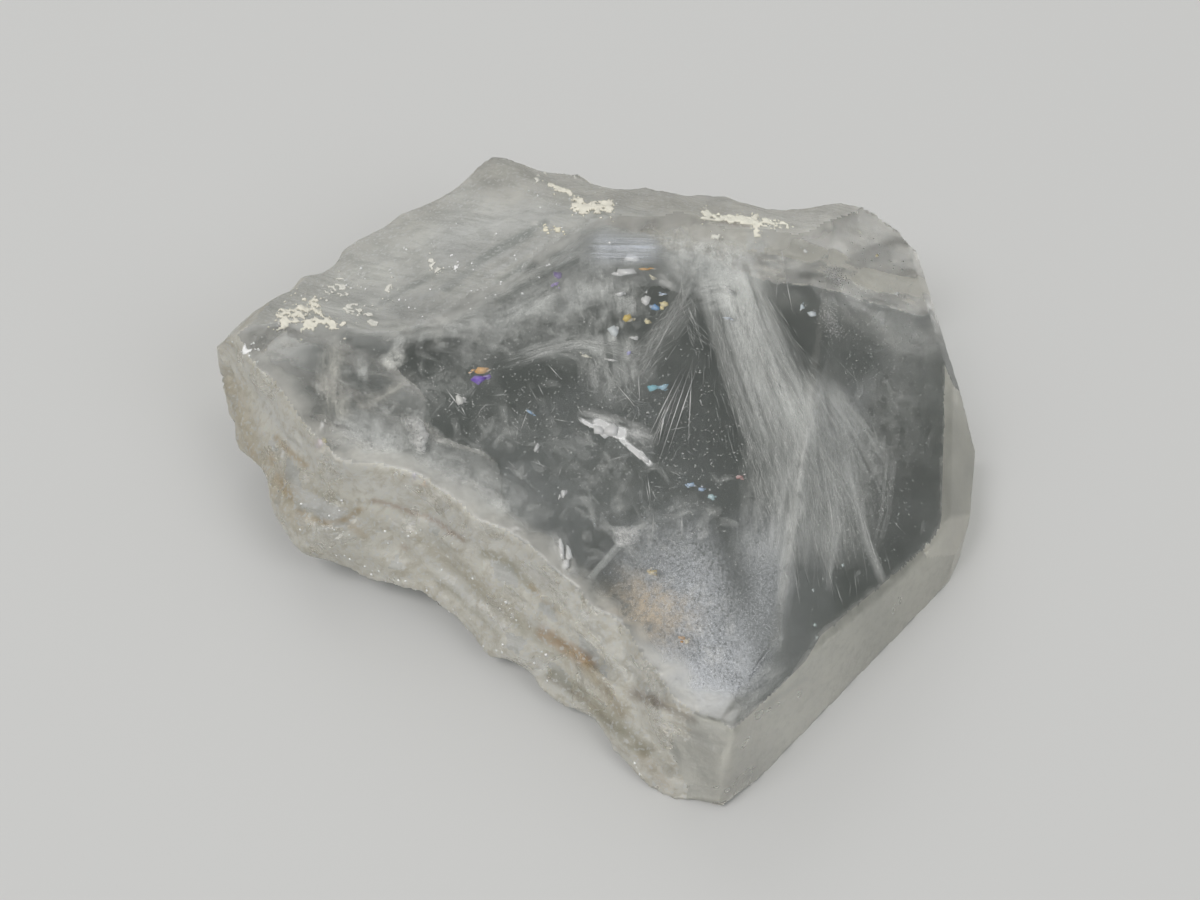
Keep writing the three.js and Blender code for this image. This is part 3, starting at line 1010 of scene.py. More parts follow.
def closeSheet(quads, first):
    used = sorted({k for quad in quads for k in quad})
    order = {k: first + i for i, k in enumerate(used)}
    lower = len(used)
    sides = {(quad[k - 1], quad[k]) for quad in quads for k in range(4)}
    faces = []
    for a, b, c, d in quads:
        a, b, c, d = order[a], order[b], order[c], order[d]
        faces += [(a, b, c), (a, c, d)]
        faces += [(a + lower, c + lower, b + lower), (a + lower, d + lower, c + lower)]
    for a, b in sides:
        if (b, a) not in sides:
            a, b = order[a], order[b]
            faces += [(b, a, a + lower), (b, a + lower, b + lower)]
    return used, sorted(faces)


def growSheets(name, strokes, material, seed):
    corners, triangles, tints, flows = [], [], [], []
    number, total = seed, 0
    for stroke in strokes.values():
        for layer in range(stroke["layers"]):
            number += 1
            rows, columns, pixels, dense, depth, flow = sheetGrid(stroke, number)
            places = [insidePoint(px, py, d, windowFaces) for (px, py), d in zip(pixels, depth)]
            room = np.array([sideTree.find_nearest(p)[3] / mm if p else 0 for p in places])
            dense = dense * ramp(room, *sheetBuild["side"])
            quads = sheetFaces(rows, columns, places, dense)
            if not quads:
                continue
            used, faces = closeSheet(quads, total)
            upper = np.array([places[k] for k in used])
            corners += [upper, upper + lookAlong * sheetBuild["thin"] * mm]
            rgba = np.column_stack((np.tile(np.array(stroke["tint"]), (len(used), 1)), dense[used]))
            tints += [rgba, rgba]
            flows += [flow[used], flow[used]]
            triangles.append(np.array(faces))
            total += 2 * len(used)
    mesh = joinArrays(name, np.concatenate(corners), np.concatenate(triangles), np.concatenate(tints))
    layer = mesh.attributes.new("flow", "FLOAT_VECTOR", "POINT")
    layer.data.foreach_set("vector", np.concatenate(flows).ravel())
    mesh.polygons.foreach_set("use_smooth", np.ones(len(mesh.polygons), dtype=bool))
    veil = addInside(name, mesh, material)
    veil.visible_shadow = False  # thin enough to let the lamps' light through
    return veil


veilLook = {
    "surface": {"Roughness": 0.8, "Specular IOR Level": 0.1},
    "strands": {"Scale": 1.0, "Detail": 5, "Roughness": 0.66},
    "dust": {"Scale": 12000, "Detail": 2},
    "range": (0.34, 0.68),  # noise that is spread over the shares below
    "strandShare": (0.05, 1.95),
    "dustShare": (0.7, 1.3),
}


def makeTinted(name, values):
    material = bpy.data.materials.new(name)
    material.use_nodes = True
    tree = material.node_tree
    surface = tree.nodes["Principled BSDF"]
    for socket, value in values.items():
        surface.inputs[socket].default_value = value
    tint = addNode(tree, "VertexColor")
    tint.layer_name = "tint"
    tree.links.new(tint.outputs["Color"], surface.inputs["Base Color"])
    return material, tree, surface, tint


def makeVeil(name, look):
    material, tree, surface, tint = makeTinted(name, look["surface"])
    links = tree.links
    flow = addNode(tree, "Attribute")
    flow.attribute_name = "flow"
    strands, dust = addNode(tree, "TexNoise", look["strands"]), addNode(tree, "TexNoise", look["dust"])
    links.new(flow.outputs["Vector"], strands.inputs["Vector"])
    links.new(addNode(tree, "TexCoord").outputs["Object"], dust.inputs["Vector"])
    density = tint.outputs["Alpha"]
    for noise, share in ((strands, look["strandShare"]), (dust, look["dustShare"])):
        times = addNode(tree, "Math")
        times.operation = "MULTIPLY"
        links.new(density, times.inputs[0])
        links.new(spreadValue(tree, noise.outputs["Fac"], *look["range"], *share), times.inputs[1])
        density = times.outputs["Value"]
    links.new(density, surface.inputs["Alpha"])
    return material


fanSheets = {
    "fanStrip": sheet(((722, 250), (744, 325), (766, 380), (796, 456)), (34, 50), 0.42, (0.5, 1.3), silk,
        layers=2),
    "fanWide": sheet(((806, 360), (815, 430), (820, 500), (822, 580)), (34, 72), 0.25, (0.5, 1.8), silk,
        layers=2),
    "fanRight": sheet(((820, 378), (850, 418), (884, 478)), (14, 26), 0.34, (0.4, 1.0), silk),
    "fanFoot": sheet(((775, 420), (770, 500), (762, 580)), (34, 40), 0.26, (0.6, 1.8), hazy),
    "ridgeBand": sheet(((830, 343), (813, 401), (807, 440), (799, 500), (787, 556), (778, 645), (757, 690)),
        (11, 12), 0.36, (0.2, 0.5), hazy, patch=(16, -0.9, 0.6)),
    "ridgeLine": sheet(((838, 318), (828, 362), (813, 410), (804, 455), (797, 505), (789, 560), (782, 612),
        (776, 640)), (3, 4), 0.42, (0.05, 0.12), hazy, milkWhite, (22, -0.9, 0.4), 1, (0.4, 0.25)),
    "bevelHaze": sheet(((722, 724), (752, 692), (796, 650)), (15, 12), 0.50, (0.1, 0.35), (0.5, 1.2),
        milkWhite, None, 1, (0.05, 0.6)),
    "streakA": sheet(((824, 435), (836, 527), (824, 600)), (7, 6), 0.34, (0.4, 0.8), silk),
    "streakB": sheet(((842, 440), (866, 540), (890, 600)), (8, 6), 0.34, (0.4, 0.9), silk),
    "streakC": sheet(((893, 445), (886, 510), (876, 552)), (7, 6), 0.28, (0.4, 0.8), silk),
    "backVeil": sheet(((640, 240), (715, 256), (790, 270)), (30, 38), 0.55, (0.4, 1.2), cloud,
        patch=(30, -0.7, 0.6), layers=2, fade=(0.4, 0.4)),
    "backVeilLow": sheet(((690, 296), (725, 290), (760, 300)), (24, 26), 0.45, (0.5, 1.2), hazy),
}
# the bluish front, tip and ridge hazes are milky haze together with a painted reflection of the sky off the
# top face
hazeSheets = {
    "frontHaze": sheet(((634, 500), (688, 600), (726, 705)), (76, 46), 0.38, (0.4, 1.6), (7, 7), hazeAndSkyWhite,
        None, 2, (0.5, 0.03)),
    "tipHaze": sheet(((612, 648), (668, 676), (728, 712)), (40, 26), 0.38, (0.2, 0.7), fine, hazeAndSkyWhite,
        None, 2, (0.3, 0.03)),
    "ridgeHaze": sheet(((748, 490), (768, 580), (745, 690)), (40, 24), 0.40, (0.3, 1.2), fine, hazeAndSkyWhite,
        None, 1, (0.4, 0.1)),
    "hazeFlecks": sheet(((650, 560), (700, 620), (735, 690)), (60, 30), 0.36, (0.2, 0.5), (4, 4), snowWhite,
        (10, -0.1, 0.6)),
    "ochreCloud": sheet(((590, 588), (645, 606), (708, 640)), (38, 34), 0.58, (0.1, 0.3), cloud,
        (0.77, 0.65, 0.50), None, 1, (0.5, 0.5)),
    "creamCloud": sheet(((572, 592), (608, 640), (632, 690)), (28, 22), 0.40, (0.15, 0.5), cloud,
        warmWhite),
}
edgeSheets = {
    "edgeFrost": sheet(((268, 376), (281, 402), (297, 418), (320, 440), (348, 458), (377, 469), (415, 483),
        (435, 507), (492, 530), (540, 562), (590, 605), (640, 655), (703, 720)), (20, 34), 0.34,
        (0.25, 0.5), cloud, warmWhite, None, 1, (0.04, 0.02)),
    "edgeMist": sheet(((322, 420), (400, 455), (470, 496), (545, 545)), (34, 44), 0.36, (0.3, 1.4), cloud,
        milkWhite, (26, -0.8, 0.4), 2),
    "edgeArcs": sheet(((325, 424), (355, 430), (385, 455)), (22, 22), 0.40, (0.3, 0.9), hazy),
    "milkBand": sheet(((334, 336), (331, 380), (338, 430)), (17, 20), 0.50, (0.2, 0.7), hazy, warmWhite,
        (16, -1.0, 0.5)),
    "facetPale": sheet(((359, 346), (363, 386)), (8, 8), 0.45, (0.2, 0.5), cloud),
    "creamWisp": sheet(((350, 409), (383, 396), (418, 371)), (9, 7), 0.36, (0.2, 0.5), hazy, warmWhite,
        (10, -0.8, 0.6)),
    "tealHaze": sheet(((390, 408), (440, 372), (505, 350)), (36, 46), 0.24, (0.3, 1.6), cloud, milkWhite,
        (30, -0.8, 0.5)),
    "tipMilk": sheet(((238, 360), (268, 352), (300, 338)), (15, 9), 0.22, (0.2, 0.5), cloud, warmWhite,
        (14, -0.9, 0.5)),
    "borderVeil": sheet(((300, 338), (380, 332), (450, 324), (510, 318), (560, 288), (592, 258)), (13, 18),
        0.42, (0.2, 0.6), hazy, milkWhite, (40, -1.0, 0.2)),
    "slopeSilkA": sheet(((276, 312), (380, 275), (470, 222)), (36, 42), 0.34, (0.2, 0.6), silk),
    "slopeSilkB": sheet(((452, 302), (525, 262), (592, 220)), (30, 32), 0.40, (0.2, 0.7), silk),
    "slopeGlass": sheet(((452, 236), (524, 212)), (17, 15), 0.45, (0.2, 0.5), hazy),
}
wispSheets = {
    "longWisp": sheet(((496, 368), (545, 350), (580, 342), (645, 356)), (11, 10), 0.50, (0.3, 0.8), silk,
        milkWhite, (14, -1.0, 0.5)),
    "upperMottle": sheet(((420, 334), (520, 308), (606, 330)), (46, 58), 0.22, (0.3, 1.8), cloud, milkWhite,
        (24, -0.5, 0.6), 2),
    "network": sheet(((600, 240), (612, 330), (628, 415)), (48, 42), 0.45, (0.3, 1.6), hazy, milkWhite,
        (17, -0.35, 0.5), 2),
    "centreMottle": sheet(((440, 410), (560, 450), (660, 490)), (58, 60), 0.16, (0.3, 2.2), cloud,
        milkWhite, (24, -0.45, 0.6)),
    "lowerMottle": sheet(((540, 500), (640, 530), (720, 500)), (48, 52), 0.16, (0.4, 1.8), cloud, milkWhite,
        (20, -0.4, 0.6)),
    "glintBody": sheet(((576, 417), (590, 425), (603, 429), (615, 433), (629, 446), (642, 457), (653, 467)),
        (2.4, 3.6), 6.0, (0.26, 0.30), cloud, white, (6, -0.7, 0.1), 1, (0.3, 0.15)),
    "glintWedge": sheet(((592, 421), (606, 427), (618, 433), (628, 434)), (5, 7), 6.0, (0.26, 0.30), cloud,
        white, (8, -0.6, 0.1), 1, (0.3, 0.3)),
    "glintWing": sheet(((572, 412), (612, 424), (660, 446)), (9, 16), 0.45, (0.3, 0.7), hazy, snowWhite),
    "backStriae": sheet(((586, 248), (664, 249)), (18, 17), 0.55, (0.3, 0.5), (0.12, 7.0),
        (0.88, 0.91, 0.97)),
    "starCloud": sheet(((696, 272), (674, 318), (640, 370)), (20, 15), 0.32, (0.3, 0.9), silk, milkWhite,
        (12, -0.8, 0.6)),
    "slopeMist": sheet(((890, 250), (905, 400), (860, 560)), (60, 44), 0.13, (0.3, 1.6), cloud, milkWhite,
        (30, -0.6, 0.5)),
    "whiteBlob": sheet(((412, 414), (421, 448)), (12, 10), 0.95, (0.25, 0.5), cloud, snowWhite),
    "dotSpot": sheet(((382, 368), (405, 351)), (12, 10), 0.85, (0.25, 0.5), cloud, (0.93, 0.93, 0.89)),
    "dotSpotTail": sheet(((396, 354), (404, 336)), (9, 8), 0.5, (0.25, 0.5), hazy),
    "crossSpot": sheet(((612, 538), (640, 534)), (12, 10), 0.75, (0.3, 0.6), cloud, snowWhite),
    "crossArmA": sheet(((658, 514), (625, 536), (582, 586)), (7, 6), 0.40, (0.3, 0.7), silk),
    "crossArmB": sheet(((596, 516), (644, 564)), (7, 6), 0.24, (0.3, 0.7), silk),
    "slabWing": sheet(((552, 528), (574, 590)), (13, 12), 0.40, (0.3, 0.6), hazy, snowWhite),
}
# small feathers that lie about at random: depth in mm, pixels long and half wide, strength
featherShape = {
    "spread": 55,  # degrees
    "bend": 0.35,
    "taper": (0.3, 1),
    "sink": 0.2,  # mm
    "weave": (1.6, 4.0),
    "fade": (0.5, 0.5),
}
feathers = {
    "centre": {"path": ((420, 395), (540, 440), (660, 490)), "half": (60, 70), "count": 64,
        "depth": (0.3, 2.0), "long": (12, 46), "wide": (2.5, 9), "strength": (0.05, 0.24)},
    "upper": {"path": ((420, 340), (520, 305), (620, 300)), "half": (34, 60), "count": 44,
        "depth": (0.3, 1.8), "long": (12, 44), "wide": (2.5, 8), "strength": (0.06, 0.26)},
    "lower": {"path": ((520, 500), (620, 540), (720, 520)), "half": (40, 50), "count": 44,
        "depth": (0.3, 1.8), "long": (12, 44), "wide": (2.5, 8), "strength": (0.06, 0.26)},
    "left": {"path": ((320, 380), (360, 400), (420, 430)), "half": (30, 40), "count": 30,
        "depth": (0.3, 1.4), "long": (10, 36), "wide": (2.5, 8), "strength": (0.08, 0.30)},
    "right": {"path": ((880, 300), (890, 420), (850, 560)), "half": (36, 50), "count": 30,
        "depth": (0.3, 1.8), "long": (12, 44), "wide": (2, 7), "strength": (0.05, 0.20)},
}


def featherSheets(feathers, shape, seed):
    rng = np.random.default_rng(seed)
    strokes = {}
    for name, region in feathers.items():
        pixels, angles = strokeSamples({**region, "spread": shape["spread"], "patch": None}, rng)
        for k, (spot, angle) in enumerate(zip(pixels, angles)):
            ahead = np.array((math.cos(angle), math.sin(angle))) * rng.uniform(*region["long"]) / 2
            bend = np.array((-ahead[1], ahead[0])) * rng.uniform(-shape["bend"], shape["bend"])
            wide, depth = rng.uniform(*region["wide"]), rng.uniform(*region["depth"])
            strokes[name + str(k)] = sheet(
                (spot - ahead, spot + bend, spot + ahead), (wide, wide * rng.uniform(*shape["taper"])),
                rng.uniform(*region["strength"]), (depth, depth + shape["sink"]), shape["weave"],
                fade=shape["fade"])
    return strokes


veilPale = makeVeil("veilPale", veilLook)
growSheets("veilFan", fanSheets, veilPale, 100)
growSheets("paleHaze", hazeSheets, veilPale, 200)
growSheets("edgeVeils", edgeSheets, veilPale, 300)
growSheets("wisps", wispSheets, veilPale, 400)
growSheets("feathers", featherSheets(feathers, featherShape, 5), veilPale, 500)

# single fibres and grains: closed spindles
fibreBuild = {
    "lean": 0.3,  # spread of the slope away from the camera
    "glow": (0.7, 1.1),
    "shares": (1, 0.4),  # a fibre that would stick out is tried again shorter
    "flat": 0.6,  # thickness as a share of the width
    "margin": 0.07,  # mm kept to the nearest face
    "sideMargin": 0.6,  # mm kept to the side faces
}
spindle = np.array(((0, 2, 1), (0, 3, 2), (0, 1, 3), (4, 1, 2), (4, 2, 3), (4, 3, 1)))


def makeSpindles(name, centres, axes, lengths, widths, thicknesses, tints):
    helper = np.where(np.abs(axes[:, 2:3]) < 0.9, ((0.0, 0.0, 1.0),), ((1.0, 0.0, 0.0),))
    side = np.cross(axes, helper)
    side /= np.linalg.norm(side, axis=1)[:, None]
    other = np.cross(axes, side)
    corners = np.zeros((len(centres), 5, 3))
    corners[:, 0] = centres - axes * lengths[:, None] / 2
    corners[:, 4] = centres + axes * lengths[:, None] / 2
    for k in range(3):
        turn = 2 * math.pi * k / 3
        corners[:, 1 + k] = centres + side * (math.cos(turn) * widths / 2)[:, None]
        corners[:, 1 + k] += other * (math.sin(turn) * thicknesses / 2)[:, None]
    triangles = (np.arange(len(centres))[:, None, None] * 5 + spindle[None]).reshape(-1, 3)
    return joinArrays(name, corners.reshape(-1, 3), triangles, np.repeat(tints, 5, axis=0))


def growFibres(name, strokes, material, seed):
    rng = np.random.default_rng(seed)
    centres, axes, lengths, widths, tints = [], [], [], [], []
    for stroke in strokes.values():
        pixels, angles = strokeSamples(stroke, rng)
        depths = rng.uniform(*stroke["depth"], len(pixels))
        sizes = rng.uniform(*stroke["look"]["length"], len(pixels))
        thick = rng.uniform(*stroke["look"]["thick"], len(pixels))
        lean = rng.normal(0, fibreBuild["lean"], len(pixels))
        glow = rng.uniform(*fibreBuild["glow"], len(pixels))
        for i, (px, py) in enumerate(pixels):
            spot = insidePoint(px, py, depths[i], windowFaces)
            if spot is None or sideTree.find_nearest(spot)[3] < fibreBuild["sideMargin"] * mm:
                continue
            across = lookRight * math.cos(angles[i]) - lookUp * math.sin(angles[i])
            axis = Vector(across + lookAlong * lean[i]).normalized()
            for share in fibreBuild["shares"]:
                reach = axis * (sizes[i] * share * mm / 2)
                if all(isInside(end, fibreBuild["margin"]) for end in (spot + reach, spot - reach)):
                    centres.append(spot)
                    axes.append(axis)
                    lengths.append(sizes[i] * share * mm)
                    widths.append(thick[i] * mm)
                    tints.append(np.clip(np.array(stroke["tint"]) * glow[i], 0, 1))
                    break
    centres, axes, lengths, widths, tints = map(np.array, (centres, axes, lengths, widths, tints))
    mesh = makeSpindles(name, centres, axes, lengths, widths, widths * fibreBuild["flat"], tints)
    return addInside(name, mesh, material)


# looks of fibres and grains, in mm
hair = {"length": (0.8, 2.8), "thick": (0.010, 0.026)}
floss = {"length": (0.3, 1.2), "thick": (0.012, 0.032)}
grit = {"length": (0.05, 0.12), "thick": (0.035, 0.08)}
spark = {"length": (0.07, 0.20), "thick": (0.05, 0.11)}
strand = {"length": (1.2, 3.6), "thick": (0.028, 0.050)}
shred = {"length": (0.3, 1.3), "thick": (0.025, 0.055)}


def fibres(path, half, count, depth, look, spread, tint=milkWhite, patch=None):
    return {"path": path, "half": half, "count": count, "depth": depth, "look": look, "spread": spread,
            "tint": tint, "patch": patch}


silkFibres = {
    "fanBody": fibres(((745, 300), (766, 380), (800, 470)), (26, 60), 900, (0.4, 1.6), hair, 4),
    "fanLeft": fibres(((716, 318), (732, 385), (750, 445), (775, 520)), (6, 12), 220, (0.4, 1.2), hair, 4),
    "fanTail": fibres(((812, 400), (818, 480), (822, 560)), (40, 60), 500, (0.4, 1.8), hair, 6),
    "starStrands": fibres(((685, 298), (664, 330), (640, 366)), (12, 14), 260, (0.3, 1.0), hair, 14),
    "starRight": fibres(((684, 290), (692, 325), (704, 350)), (8, 12), 120, (0.3, 1.0), floss, 14),
    "starUp": fibres(((686, 300), (694, 262)), (7, 14), 90, (0.3, 1.0), floss, 14),
    "network": fibres(((600, 250), (612, 330), (625, 410)), (46, 36), 700, (0.3, 1.8), floss, 70, milkWhite,
        (15, -0.3, 0.5)),
    "slopeSilk": fibres(((450, 300), (525, 262), (590, 222)), (28, 30), 420, (0.25, 0.6), hair, 7),
    "longWisp": fibres(((507, 361), (545, 350), (580, 342), (633, 354)), (6, 6), 110, (0.3, 0.8), hair, 6),
    "backStriae": fibres(((593, 248), (660, 249)), (14, 14), 120, (0.3, 0.6), hair, 2, (0.90, 0.93, 0.98)),
    "fanStrands": fibres(((770, 350), (806, 440), (835, 560)), (24, 62), 80, (0.3, 1.0), strand, 5),
    "centreShreds": fibres(((430, 400), (560, 440), (690, 480)), (60, 70), 170, (0.3, 1.2), shred, 70,
        snowWhite, (20, -0.4, 0.5)),
    "slopeStrands": fibres(((450, 300), (525, 262), (590, 222)), (24, 26), 60, (0.15, 0.3), strand, 5),
}
dustGrains = {
    "topDust": fibres(((400, 400), (600, 400), (760, 480)), (110, 130), 1500, (0.2, 2.0), grit, 60,
        snowWhite),
    "slopeDust": fibres(((870, 260), (885, 400), (860, 560)), (50, 60), 800, (0.2, 2.0), grit, 60,
        snowWhite),
    "hazeDust": fibres(((640, 560), (700, 640)), (60, 50), 500, (0.2, 1.0), grit, 60, snowWhite),
    # these grains take the bluish white of the painted sky reflection
    "hazeSparks": fibres(((630, 540), (690, 620), (730, 690)), (60, 36), 260, (0.1, 0.6), spark, 60,
        hazeAndSkyWhite),
    "topSparks": fibres(((400, 400), (600, 400), (760, 480)), (110, 130), 620, (0.2, 1.6), spark, 60,
        snowWhite),
    "slopeSparks": fibres(((870, 260), (885, 400), (860, 560)), (50, 60), 300, (0.2, 1.6), spark, 60,
        (0.80, 0.82, 0.80)),
    "ridgeSparksA": fibres(((830, 268), (840, 284)), (9, 9), 260, (0.1, 0.4), grit, 60, snowWhite),
    "ridgeSparksB": fibres(((825, 308), (836, 336)), (11, 10), 360, (0.1, 0.5), grit, 60, snowWhite),
    "blobGrains": fibres(((413, 418), (420, 444)), (9, 8), 200, (0.15, 0.3), grit, 60, snowWhite),
    "crossGrains": fibres(((618, 536), (634, 536)), (9, 8), 140, (0.2, 0.4), grit, 60, snowWhite),
}
fibreWhite = makeTinted("fibreWhite", {"Roughness": 0.5})[0]
growFibres("silkFibres", silkFibres, fibreWhite, 7)
growFibres("dustGrains", dustGrains, fibreWhite, 11)

# single needles: two pixels, depth and width in mm
needleScale = 1.7  # on all widths
needles = {
    "bundleA": ((698, 345), (656, 470), 0.7, 0.040),
    "bundleB": ((690, 362), (650, 446), 0.6, 0.055),
    "bundleC": ((684, 372), (662, 440), 0.9, 0.030),
    "bundleD": ((693, 350), (688, 448), 0.8, 0.040),
    "bundleE": ((680, 380), (652, 448), 0.5, 0.035),
    "bundleF": ((672, 392), (654, 436), 0.6, 0.030),
    "bundleG": ((702, 352), (668, 452), 0.7, 0.045),
    "bundleH": ((688, 356), (644, 446), 0.5, 0.040),
    "bundleI": ((668, 400), (658, 446), 0.4, 0.060),
    "lowerA": ((682, 504), (682, 543), 0.8, 0.032),
    "lowerD": ((654, 506), (652, 548), 0.5, 0.035),
    "lowerB": ((647, 470), (651, 503), 0.6, 0.035),
    "lowerC": ((645, 478), (650, 506), 0.9, 0.025),
    "strandA": ((683, 300), (640, 380), 0.6, 0.030),
    "strandB": ((684, 298), (652, 356), 0.8, 0.028),
    "strandC": ((683, 302), (680, 264), 0.6, 0.028),
    "strandD": ((684, 300), (700, 332), 0.7, 0.028),
    "strandE": ((612, 379), (640, 412), 0.7, 0.035),
    "strandF": ((638, 364), (640, 408), 0.9, 0.028),
    "leftA": ((546, 362), (562, 380), 0.5, 0.035),
    "leftB": ((530, 405), (520, 432), 0.6, 0.028),
    "hairA": ((780, 238), (784, 267), 0.3, 0.030),
    "hairB": ((784, 267), (793, 314), 0.3, 0.028),
    "hairC": ((778, 276), (776, 300), 0.4, 0.026),
    "hairD": ((764, 292), (779, 318), 0.5, 0.030),
    "burstA": ((444, 386), (462, 410), 0.4, 0.050),
    "burstB": ((456, 398), (448, 408), 0.4, 0.040),
    "burstC": ((458, 402), (472, 402), 0.4, 0.040),
    "burstD": ((460, 404), (466, 416), 0.4, 0.045),
    "burstE": ((452, 392), (464, 396), 0.4, 0.035),
    "streakNeedleA": ((826, 470), (837, 560), 0.7, 0.030),
    "streakNeedleB": ((858, 500), (886, 590), 0.8, 0.030),
}


def growNeedles(name, needles, material):
    centres, axes, lengths, widths = [], [], [], []
    for first, last, depth, width in needles.values():
        a, b = insidePoint(*first, depth), insidePoint(*last, depth)
        centres.append((a + b) / 2)
        axes.append((b - a).normalized())
        lengths.append((b - a).length)
        widths.append(width * needleScale * mm)
    centres, axes, lengths, widths = map(np.array, (centres, axes, lengths, widths))
    tints = np.tile(np.array(snowWhite), (len(centres), 1))
    return addInside(name, makeSpindles(name, centres, axes, lengths, widths, widths, tints), material)


growNeedles("needles", needles, makeTinted("needleWhite", {"Roughness": 0.35})[0])

# bright flakes, white inclusions and iridescent films together with painted glints where cracks throw back
# the light:
# pixel, size in pixels, turn in degrees, depth in mm, colour
flakes = {
    "glintB": ((598, 429), (13, 7), 20, 0.28, white),
    "glintC": ((611, 430), (12, 9), 35, 0.25, white),
    "glintF": ((643, 458), (12, 6), 36, 0.28, white),
    "slabA": ((561, 546), (7, 15), -12, 0.22, white),
    "slabB": ((569, 553), (5, 13), -16, 0.30, (0.88, 0.89, 0.89)),
    "slabC": ((565, 564), (6, 9), 10, 0.22, white),
    "burstCore": ((459, 400), (9, 6), 35, 0.30, (0.96, 0.95, 0.90)),
    "smallShardA": ((563, 493), (4, 7), 10, 0.30, (0.90, 0.90, 0.90)),
    "smallShardB": ((517, 528), (6, 4), 30, 0.30, (0.95, 0.95, 0.95)),
    "smallShardC": ((536, 448), (4, 6), 20, 0.30, (0.85, 0.85, 0.85)),
    "orangeA": ((481, 370), (11, 5), -10, 0.6, (0.95, 0.55, 0.20)),
    "violetA": ((479, 379), (14, 7), -15, 0.6, (0.30, 0.16, 0.75)),
    "orangeB": ((645, 269), (9, 2.5), 5, 0.5, (0.85, 0.50, 0.18)),
    "whiteB": ((627, 271), (18, 5), -5, 0.5, white),
    "creamB": ((652, 277), (8, 3), 30, 0.5, (0.85, 0.80, 0.65)),
    "blueB": ((664, 294), (6, 2), 0, 0.5, (0.65, 0.78, 0.98)),
    "goldB": ((664, 305), (8, 5), 0, 0.5, (1.0, 0.86, 0.50)),
    "blueC": ((655, 308), (7, 5), 30, 0.6, (0.22, 0.45, 0.80)),
    "goldC": ((627, 318), (11, 6), -15, 0.5, (0.92, 0.70, 0.24)),
    "whiteC": ((614, 332), (9, 10), 20, 0.5, (0.90, 0.95, 0.97)),
    "violetC": ((629, 353), (4, 4), 0, 0.5, (0.62, 0.60, 0.98)),
    "cyanC": ((653, 388), (10, 5), 5, 0.5, (0.25, 0.70, 0.85)),
    "cyanD": ((663, 387), (9, 4), -20, 0.5, (0.45, 0.75, 0.95)),
    "violetB": ((557, 275), (7, 6), 30, 0.5, (0.20, 0.12, 0.40)),
    "blueD": ((691, 485), (6, 4), 10, 0.6, (0.55, 0.74, 0.98)),
    "blueE": ((701, 489), (5, 3), 20, 0.6, (0.55, 0.70, 0.92)),
    "blueF": ((711, 497), (6, 4), 0, 0.6, (0.62, 0.85, 0.90)),
    "goldD": ((653, 572), (7, 4), 0, 0.5, (0.80, 0.66, 0.38)),
    "orangeC": ((681, 638), (6, 4), 20, 0.3, (0.80, 0.42, 0.14)),
    "creamC": ((687, 642), (5, 4), 0, 0.3, (0.92, 0.86, 0.72)),
    # whiteV to whiteY, with blueH and goldF: painted glints, the light thrown back by cracks made as bright
    # flakes
    "whiteV": ((632, 258), (15, 4.5), 8, 0.5, white),
    "whiteW": ((646, 300), (6, 8), 30, 0.5, snowWhite),
    "whiteX": ((620, 294), (7, 4), -20, 0.5, white),
    "blueH": ((642, 247), (10, 3), 0, 0.5, (0.72, 0.84, 1.0)),
    "goldF": ((648, 322), (5, 4), 0, 0.5, (1.0, 0.90, 0.60)),
    "whiteY": ((634, 338), (7, 3), 15, 0.5, snowWhite),
    "violetF": ((556, 284), (5, 4), 10, 0.5, (0.35, 0.25, 0.60)),
    "redD": ((740, 477), (7, 3), 0, 0.7, (0.62, 0.34, 0.32)),
    "blueG": ((530, 412), (7, 3), 20, 0.6, (0.40, 0.60, 0.85)),
    "violetD": ((320, 445), (5, 5), 0, 0.3, (0.70, 0.50, 0.75)),
    "goldE": ((325, 440), (3, 6), 0, 0.3, (0.88, 0.78, 0.45)),
    "whiteD": ((322, 424), (4, 6), 0, 0.3, snowWhite),
    "whiteE": ((321, 451), (6, 5), 0, 0.3, snowWhite),
    "whiteF": ((419, 483), (8, 5), 20, 0.3, snowWhite),
    "orangeE": ((424, 485), (5, 3), -30, 0.3, (0.90, 0.60, 0.42)),
    "violetE": ((414, 477), (3, 5), 0, 0.3, (0.55, 0.55, 0.90)),
    "whiteG": ((586, 356), (6, 2.5), 10, 0.5, (0.95, 0.93, 0.80)),
    "whiteH": ((612, 360), (9, 2), 10, 0.5, snowWhite),
    "whiteI": ((495, 235), (3, 8), 10, 0.25, snowWhite),
    "whiteJ": ((536, 223), (9, 4), 25, 0.25, snowWhite),
    "whiteK": ((877, 255), (2.2, 2.6), 0, 0.3, (0.95, 0.85, 0.60)),
    "whiteL": ((897, 294), (2.5, 2.5), 0, 0.4, snowWhite),
    "whiteM": ((805, 251), (4, 3), 0, 0.3, snowWhite),
    "whiteN": ((812, 314), (6, 4), 0, 0.4, (0.85, 0.92, 0.98)),
    "whiteO": ((802, 307), (3, 4), 0, 0.4, (0.80, 0.88, 0.96)),
    "whiteP": ((728, 290), (7, 3), 15, 0.4, snowWhite),
    "whiteQ": ((727, 318), (7, 2), 5, 0.4, (0.80, 0.86, 0.95)),
    "whiteR": ((815, 625), (2.5, 2.5), 0, 0.4, (0.66, 0.78, 0.76)),
    "whiteS": ((817, 638), (2.5, 2.5), 0, 0.4, (0.72, 0.80, 0.80)),
    "whiteT": ((843, 565), (2.2, 2.2), 0, 0.4, (0.70, 0.80, 0.80)),
    "whiteU": ((813, 590), (2.2, 2.2), 0, 0.4, (0.78, 0.84, 0.84)),
    "blobA": ((418, 426), (13, 14), 20, 0.35, (0.93, 0.93, 0.91)),
    "blobB": ((421, 440), (12, 12), -20, 0.30, (0.93, 0.93, 0.91)),
}
